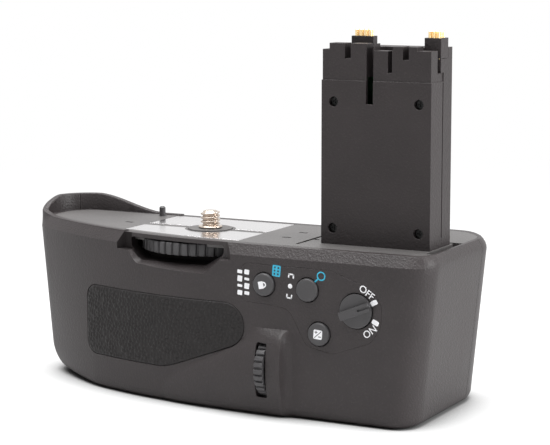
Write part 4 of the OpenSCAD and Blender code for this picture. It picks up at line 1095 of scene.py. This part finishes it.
class GRIP_OT_attachment(bpy.types.Operator):
    """Ridged attachment wheel, its clip and the threaded screw"""
    bl_idname = "grip.attachment"
    bl_label = "Attachment"

    def execute(self, context):
        low, high = node_box("attachment_wheel")
        half = (high[2] - low[2]) / 2
        wheel = ridged_wheel("wheel", WHEEL_R, WHEEL_BORE, half, sizes().wheel_ridges, WHEEL_GROOVE,
                             WHEEL_CHAMFER, WHEEL_DISH, Matrix.Translation((0, 0, low[2] + half)))
        place(wheel, "ridged_wheel", "attachment_wheel", material("control"), sharp=WHEEL_SHARP)
        low, high = node_box("attachment_screw")
        thread_z = high[2] - THREAD_H
        screw = threaded_screw("screw", low[2], thread_z - COLLAR_H, COLLAR_R, thread_z, high[2], THREAD_R,
                               THREAD_ROOT, sizes().thread_pitch / MM, SHANK_R)
        place(screw, "threaded_screw", "attachment_screw", material("bright"), sharp=SCREW_SHARP)
        dress("steel", "wheel_clip")
        return {"FINISHED"}


# Node, on the front or not, mesh spacing against the palm pad's, and seed of the grain
PADS = (("palm_pad", False, 1, 4), ("front_grip", True, 1.6, 9))


class GRIP_OT_grips(bpy.types.Operator):
    """Leather-grained palm pad and front grip"""
    bl_idname = "grip.grips"
    bl_label = "Grips"

    def execute(self, context):
        s = sizes()
        for node, front, coarser, seed in PADS:
            name = "leather_" + node
            step = s.sheet_step / MM * coarser
            pad = leather_pad(name, front, step, s.grain_cell / MM, s.grain_depth / MM, seed)
            place(pad, name, node, material("rubber"), sharp=PAD_SHARP)
        return {"FINISHED"}


# Dished face of a button: how far in from its rim, and how deep
BUTTON_FACE = ((0, -0.55), (0.08, -0.3), (0.28, -0.1), (0.6, 0.0), (1.3, -0.03), (2.2, -0.09), (2.6, -0.13),
               (3.3, -0.13))
BUTTON_STEM_R, BUTTON_FLANGE_R = 1.4, 4.5


class GRIP_OT_controls(bpy.types.Operator):
    """Round buttons, power knob, command dial and shutter release"""
    bl_idname = "grip.controls"
    bl_label = "Controls"

    def execute(self, context):
        for node in BUTTONS:
            low, high = node_box(node)
            x, _, z = middle(node)
            flange = low[1] + REAR_REACH - WALL - RUN
            profile = [(BUTTON_STEM_R, low[1] - high[1]), (BUTTON_STEM_R, flange - 1),
                       (BUTTON_FLANGE_R, flange - 1), (BUTTON_FLANGE_R, flange), (BUTTON_R, flange)]
            profile += [(BUTTON_R - inward, depth) for inward, depth in BUTTON_FACE]
            cap = turned(node, profile, facing_rear(x, low[1], z))
            place(cap, node + "_cap", node, material("control"), sharp=WHEEL_SHARP)
        dress("control", "power_knob")
        low, high = node_box("command_dial")
        on_side = Matrix.Translation(middle("command_dial")) @ Matrix.Rotation(math.radians(90), 4, "Y")
        dial = ridged_wheel("dial", (high[2] - low[2]) / 2, DIAL_BORE, (high[0] - low[0]) / 2,
                            sizes().dial_ridges, DIAL_GROOVE, DIAL_CHAMFER, DIAL_DISH, on_side)
        place(dial, "ridged_dial", "command_dial", material("control"), sharp=WHEEL_SHARP)
        dress("control", "shutter_button")
        dress("steel", "shutter_collar", "dial_axle", "dial_bracket")
        return {"FINISHED"}


MARK_LEAN, GLYPH_LEAN, SIGN_LEAN = -6, -78, -4
MARK_SUNK, GLYPH_SUNK, GLYPH_T = 0.1, 0.06, 0.3
WORD_H = 2.25
# Two columns of bars left of the lock button: where, and how high each bar is
BARS = ((-6.05, (1.5, 0.8, 1.8, 1.1)), (-8.5, (1.1, 1.8, 0.8, 1.5)))


class GRIP_OT_marks(bpy.types.Operator):
    """Generic printed marks beside the controls and on two buttons"""
    bl_idname = "grip.marks"
    bl_label = "Marks"

    def execute(self, context):
        y0, y1 = -REAR_REACH - sizes().print_h / MM, -REAR_REACH + MARK_SUNK
        lock, focus, exposure, knob = (middle(n)[[0, 2]] for n in (*BUTTONS, "power_knob"))

        def flat(pts, a=y0, b=y1):
            return prism("mark", pts, a, b, "y")

        def leaning(w, h, r, at, shift=(0, 0)):
            return tile(w, h, r, MARK_LEAN, at, shift)

        white = [word("OFF", WORD_H, -34, knob + (3.5, 6.1), y0, y1),
                 word("ON", WORD_H, 38, knob + (4.5, -5.9), y0, y1),
                 flat(tile(2.3, 1.5, 0.5, 27, knob + (5.85, 3.0))),
                 flat(tile(2.3, 1.5, 0.5, -26, knob + (6.35, -3.0)))]
        white += [flat(leaning(1.7, w, 0.25, lock + (x, 3.4 - k * 2.2)))
                  for x, bars in BARS for k, w in enumerate(bars)]
        label = focus + (-5.9, 0.7)
        for k in (-1, 1):
            white += [flat(leaning(2.0, 0.45, 0.1, label, (0, 3.7 * k)))]
            white += [flat(leaning(0.45, 1.3, 0.1, label, (x, 3.2 * k))) for x in (0.8, -0.8)]
        white.append(flat(circle(label, 0.75, 32)))
        place(joined("white", white), "white_marks", "rear_housing", material("ink"), False)

        at = lock + (4.25, 4.55)
        screen = flat(leaning(2.8, 3.5, 0.4, at))
        carve(screen, [prism("dot", leaning(0.55, 0.6, 0.1, at, (a, b)), y0 - 1, y1 + 1, "y")
                       for a in (-0.6, 0.6) for b in (-1.0, 0, 1.0)])
        lens = focus + (4.6, 4.6)
        blue = [screen, ring_y(circle(lens, 1.25, 48), 0.2, y0, y1),
                flat(tile(1.5, 0.5, 0.2, 222, lens, (2.1, 0)))]
        place(joined("blue", blue), "blue_marks", "rear_housing", material("blue"), False)

        # On the buttons, and moving with them
        face = node_box("lock_button")[0][1] + GLYPH_SUNK
        bow = np.vstack([arc((0, 0.2), 0.95, 180, 0, 20)[:, :2], arc((0, 0.2), 0.55, 0, 180, 20)[:, :2]])
        glyph = [flat(pts, face, face + GLYPH_T)
                 for pts in (tile(2.3, 1.7, 0.25, GLYPH_LEAN, lock, (0, -0.7)), turn(bow, GLYPH_LEAN, lock))]
        place(joined("padlock", glyph), "lock_button_mark", "lock_button", material("ink"), False)
        face = node_box("exposure_button")[0][1] + GLYPH_SUNK
        square = flat(tile(2.9, 2.9, 0.3, SIGN_LEAN, exposure), face, face + GLYPH_T)
        strokes = ((1.0, 0.28, (-0.65, 0.65)), (0.28, 1.0, (-0.65, 0.65)), (1.0, 0.28, (0.65, -0.65)))
        cuts = [tile(w, h, 0.05, SIGN_LEAN, exposure, shift) for w, h, shift in strokes]
        cuts.append(tile(3.2, 0.25, 0.05, 41, exposure))
        carve(square, [prism("sign", c, face - 1, face + 1, "y") for c in cuts])
        place(square, "exposure_button_mark", "exposure_button", material("ink"), False)
        return {"FINISHED"}


class GRIP_OT_inside(bpy.types.Operator):
    """Battery tray, dock, boards, switches and the pieces under the base"""
    bl_idname = "grip.inside"
    bl_label = "Inside and base"

    def execute(self, context):
        dress("inner", "battery_tray", "dock_block", "button_switches", "power_switch", "shutter_switch")
        dress("gold", "tray_contacts", "dock_contacts")
        dress("steel", "tripod_socket", "housing_screws")
        dress("board", "control_board")
        dress("control", "lock_key")
        return {"FINISHED"}


# Stage

FLOOR_HALF, FLOOR_DROP = 6.0, 0.0001
FLOOR_TONES = ((0.86, 0.86, 0.86, 1), (0.9, 0.9, 0.9, 1))
# Share of plain white in the floor, from near the grip to far away, and the distances between
NEAR_WHITE, WHITE_FROM, WHITE_TO = 0.7, 0.2, 0.7
# Painted contact shadow on the floor: reach of the occlusion, and its ramp up to full white
PAINTED_SHADOW_REACH, PAINTED_SHADOW_RAMP = 0.02, (0.25, 0.8)
AIM = (0.015, 0.0, 0.04)
SENSOR_MM = 36.0


def seen_directly(tree):
    """One for camera, glossy and transmission rays, zero for the light that falls on pieces."""
    rays = tree.nodes.new("ShaderNodeLightPath")
    seen = math_node(tree, "MAXIMUM", rays.outputs["Is Camera Ray"], rays.outputs["Is Glossy Ray"])
    return math_node(tree, "MAXIMUM", seen, rays.outputs["Is Transmission Ray"])


def floor_material():
    """Pale floor that shows white but keeps the soft shadow, with a painted contact shadow near the grip from
    ambient occlusion.
    """
    mat = bpy.data.materials.new("pale floor")
    mat.use_nodes = True
    t = mat.node_tree
    p = t.nodes["Principled BSDF"]
    p.inputs["Roughness"].default_value = 0.8
    noise = t.nodes.new("ShaderNodeTexNoise")
    noise.inputs["Scale"].default_value = 3.0
    t.links.new(mix_colour(t, noise.outputs["Fac"], *FLOOR_TONES), p.inputs["Base Color"])
    far = t.nodes.new("ShaderNodeVectorMath")
    far.operation = "LENGTH"
    t.links.new(t.nodes.new("ShaderNodeTexCoord").outputs["Object"], far.inputs[0])
    away = ramp(t, far.outputs["Value"], WHITE_FROM, WHITE_TO)
    share = math_node(t, "MULTIPLY_ADD", away, 1 - NEAR_WHITE, NEAR_WHITE)
    # Occlusion near the grip darkens the floor's white: painted contact shadow
    close = t.nodes.new("ShaderNodeAmbientOcclusion")
    close.inputs["Distance"].default_value = PAINTED_SHADOW_REACH
    glow = t.nodes.new("ShaderNodeEmission")
    t.links.new(ramp(t, close.outputs["AO"], *PAINTED_SHADOW_RAMP), glow.inputs["Strength"])
    mix = t.nodes.new("ShaderNodeMixShader")
    t.links.new(math_node(t, "MULTIPLY", seen_directly(t), share), mix.inputs[0])
    t.links.new(p.outputs[0], mix.inputs[1])
    t.links.new(glow.outputs[0], mix.inputs[2])
    t.links.new(mix.outputs[0], t.nodes["Material Output"].inputs["Surface"])
    return mat


def stage_floor():
    mesh = bpy.data.meshes.new("floor")
    corners = rect(-FLOOR_HALF, -FLOOR_HALF, FLOOR_HALF, FLOOR_HALF)
    mesh.from_pydata([(x, y, 0) for x, y in corners], [], [(0, 1, 2, 3)])
    mesh.materials.append(floor_material())
    floor = linked("floor", mesh)
    floor.location.z = -FLOOR_DROP


def softbox(name, at, size, power):
    light = bpy.data.lights.new(name, "AREA")
    light.shape, light.size, light.energy = "SQUARE", size, power
    obj = linked(name, light)
    obj.location = at
    obj.rotation_euler = (Vector(AIM) - Vector(at)).to_track_quat("-Z", "Y").to_euler()


def studio_world(ambient):
    """Surroundings that look white and light the pieces only a little."""
    world = bpy.data.worlds.new("studio")
    world.use_nodes = True
    t = world.node_tree
    back = t.nodes["Background"]
    back.inputs["Color"].default_value = (1, 1, 1, 1)
    strength = math_node(t, "MULTIPLY_ADD", seen_directly(t), 1.0 - ambient, ambient)
    t.links.new(strength, back.inputs["Strength"])
    return world


class GRIP_OT_stage(bpy.types.Operator):
    """Floor, soft studio light, white surroundings and the camera"""
    bl_idname = "grip.stage"
    bl_label = "Stage"

    def execute(self, context):
        scene = context.scene
        s = scene.grip_stage
        stage_floor()
        softbox("top softbox", (-0.1, -0.04, 0.95), 0.8, s.top)
        softbox("side softbox", (0.95, 0.1, 0.4), 0.7, s.side)
        softbox("fill softbox", (-0.5, -0.9, 0.5), 0.8, s.fill)
        scene.world = studio_world(s.ambient)
        cam = bpy.data.cameras.new("camera")
        cam.sensor_width, cam.lens = SENSOR_MM, s.lens
        cam.clip_start, cam.clip_end = 0.01, 50.0
        scene.camera = linked("camera", cam)
        a, e = s.azimuth, s.elevation
        back = Vector((math.sin(a) * math.cos(e), -math.cos(a) * math.cos(e), math.sin(e)))
        rotation = back.to_track_quat("Z", "Y").to_matrix().to_4x4()
        scene.camera.matrix_world = Matrix.Translation(Vector(s.camera_at)) @ rotation
        scene.view_settings.view_transform = "Standard"
        return {"FINISHED"}


class GRIP_PT_panel(bpy.types.Panel):
    """Lists the steps that dress the grip"""
    bl_idname = "GRIP_PT_panel"
    bl_label = "Battery grip"
    bl_space_type = "VIEW_3D"
    bl_region_type = "UI"
    bl_category = "Grip"

    def draw(self, context):
        for op in OPERATORS:
            self.layout.operator(op.bl_idname)


OPERATORS = (GRIP_OT_casing, GRIP_OT_deck, GRIP_OT_tower, GRIP_OT_attachment, GRIP_OT_grips,
             GRIP_OT_controls, GRIP_OT_marks, GRIP_OT_inside, GRIP_OT_stage)
CLASSES = (GripFinishes, GripSizes, GripStage, *OPERATORS, GRIP_PT_panel)


def register():
    for c in CLASSES:
        bpy.utils.register_class(c)
    bpy.types.Scene.grip_finishes = PointerProperty(type=GripFinishes)
    bpy.types.Scene.grip_sizes = PointerProperty(type=GripSizes)
    bpy.types.Scene.grip_stage = PointerProperty(type=GripStage)


def unregister():
    for name in ("grip_finishes", "grip_sizes", "grip_stage"):
        delattr(bpy.types.Scene, name)
    for c in reversed(CLASSES):
        bpy.utils.unregister_class(c)


def main():
    register()
    bpy.ops.grip.casing()
    bpy.ops.grip.deck()
    bpy.ops.grip.tower()
    bpy.ops.grip.attachment()
    bpy.ops.grip.grips()
    bpy.ops.grip.controls()
    bpy.ops.grip.marks()
    bpy.ops.grip.inside()
    bpy.ops.grip.stage()


if __name__ == "__main__":
    main()
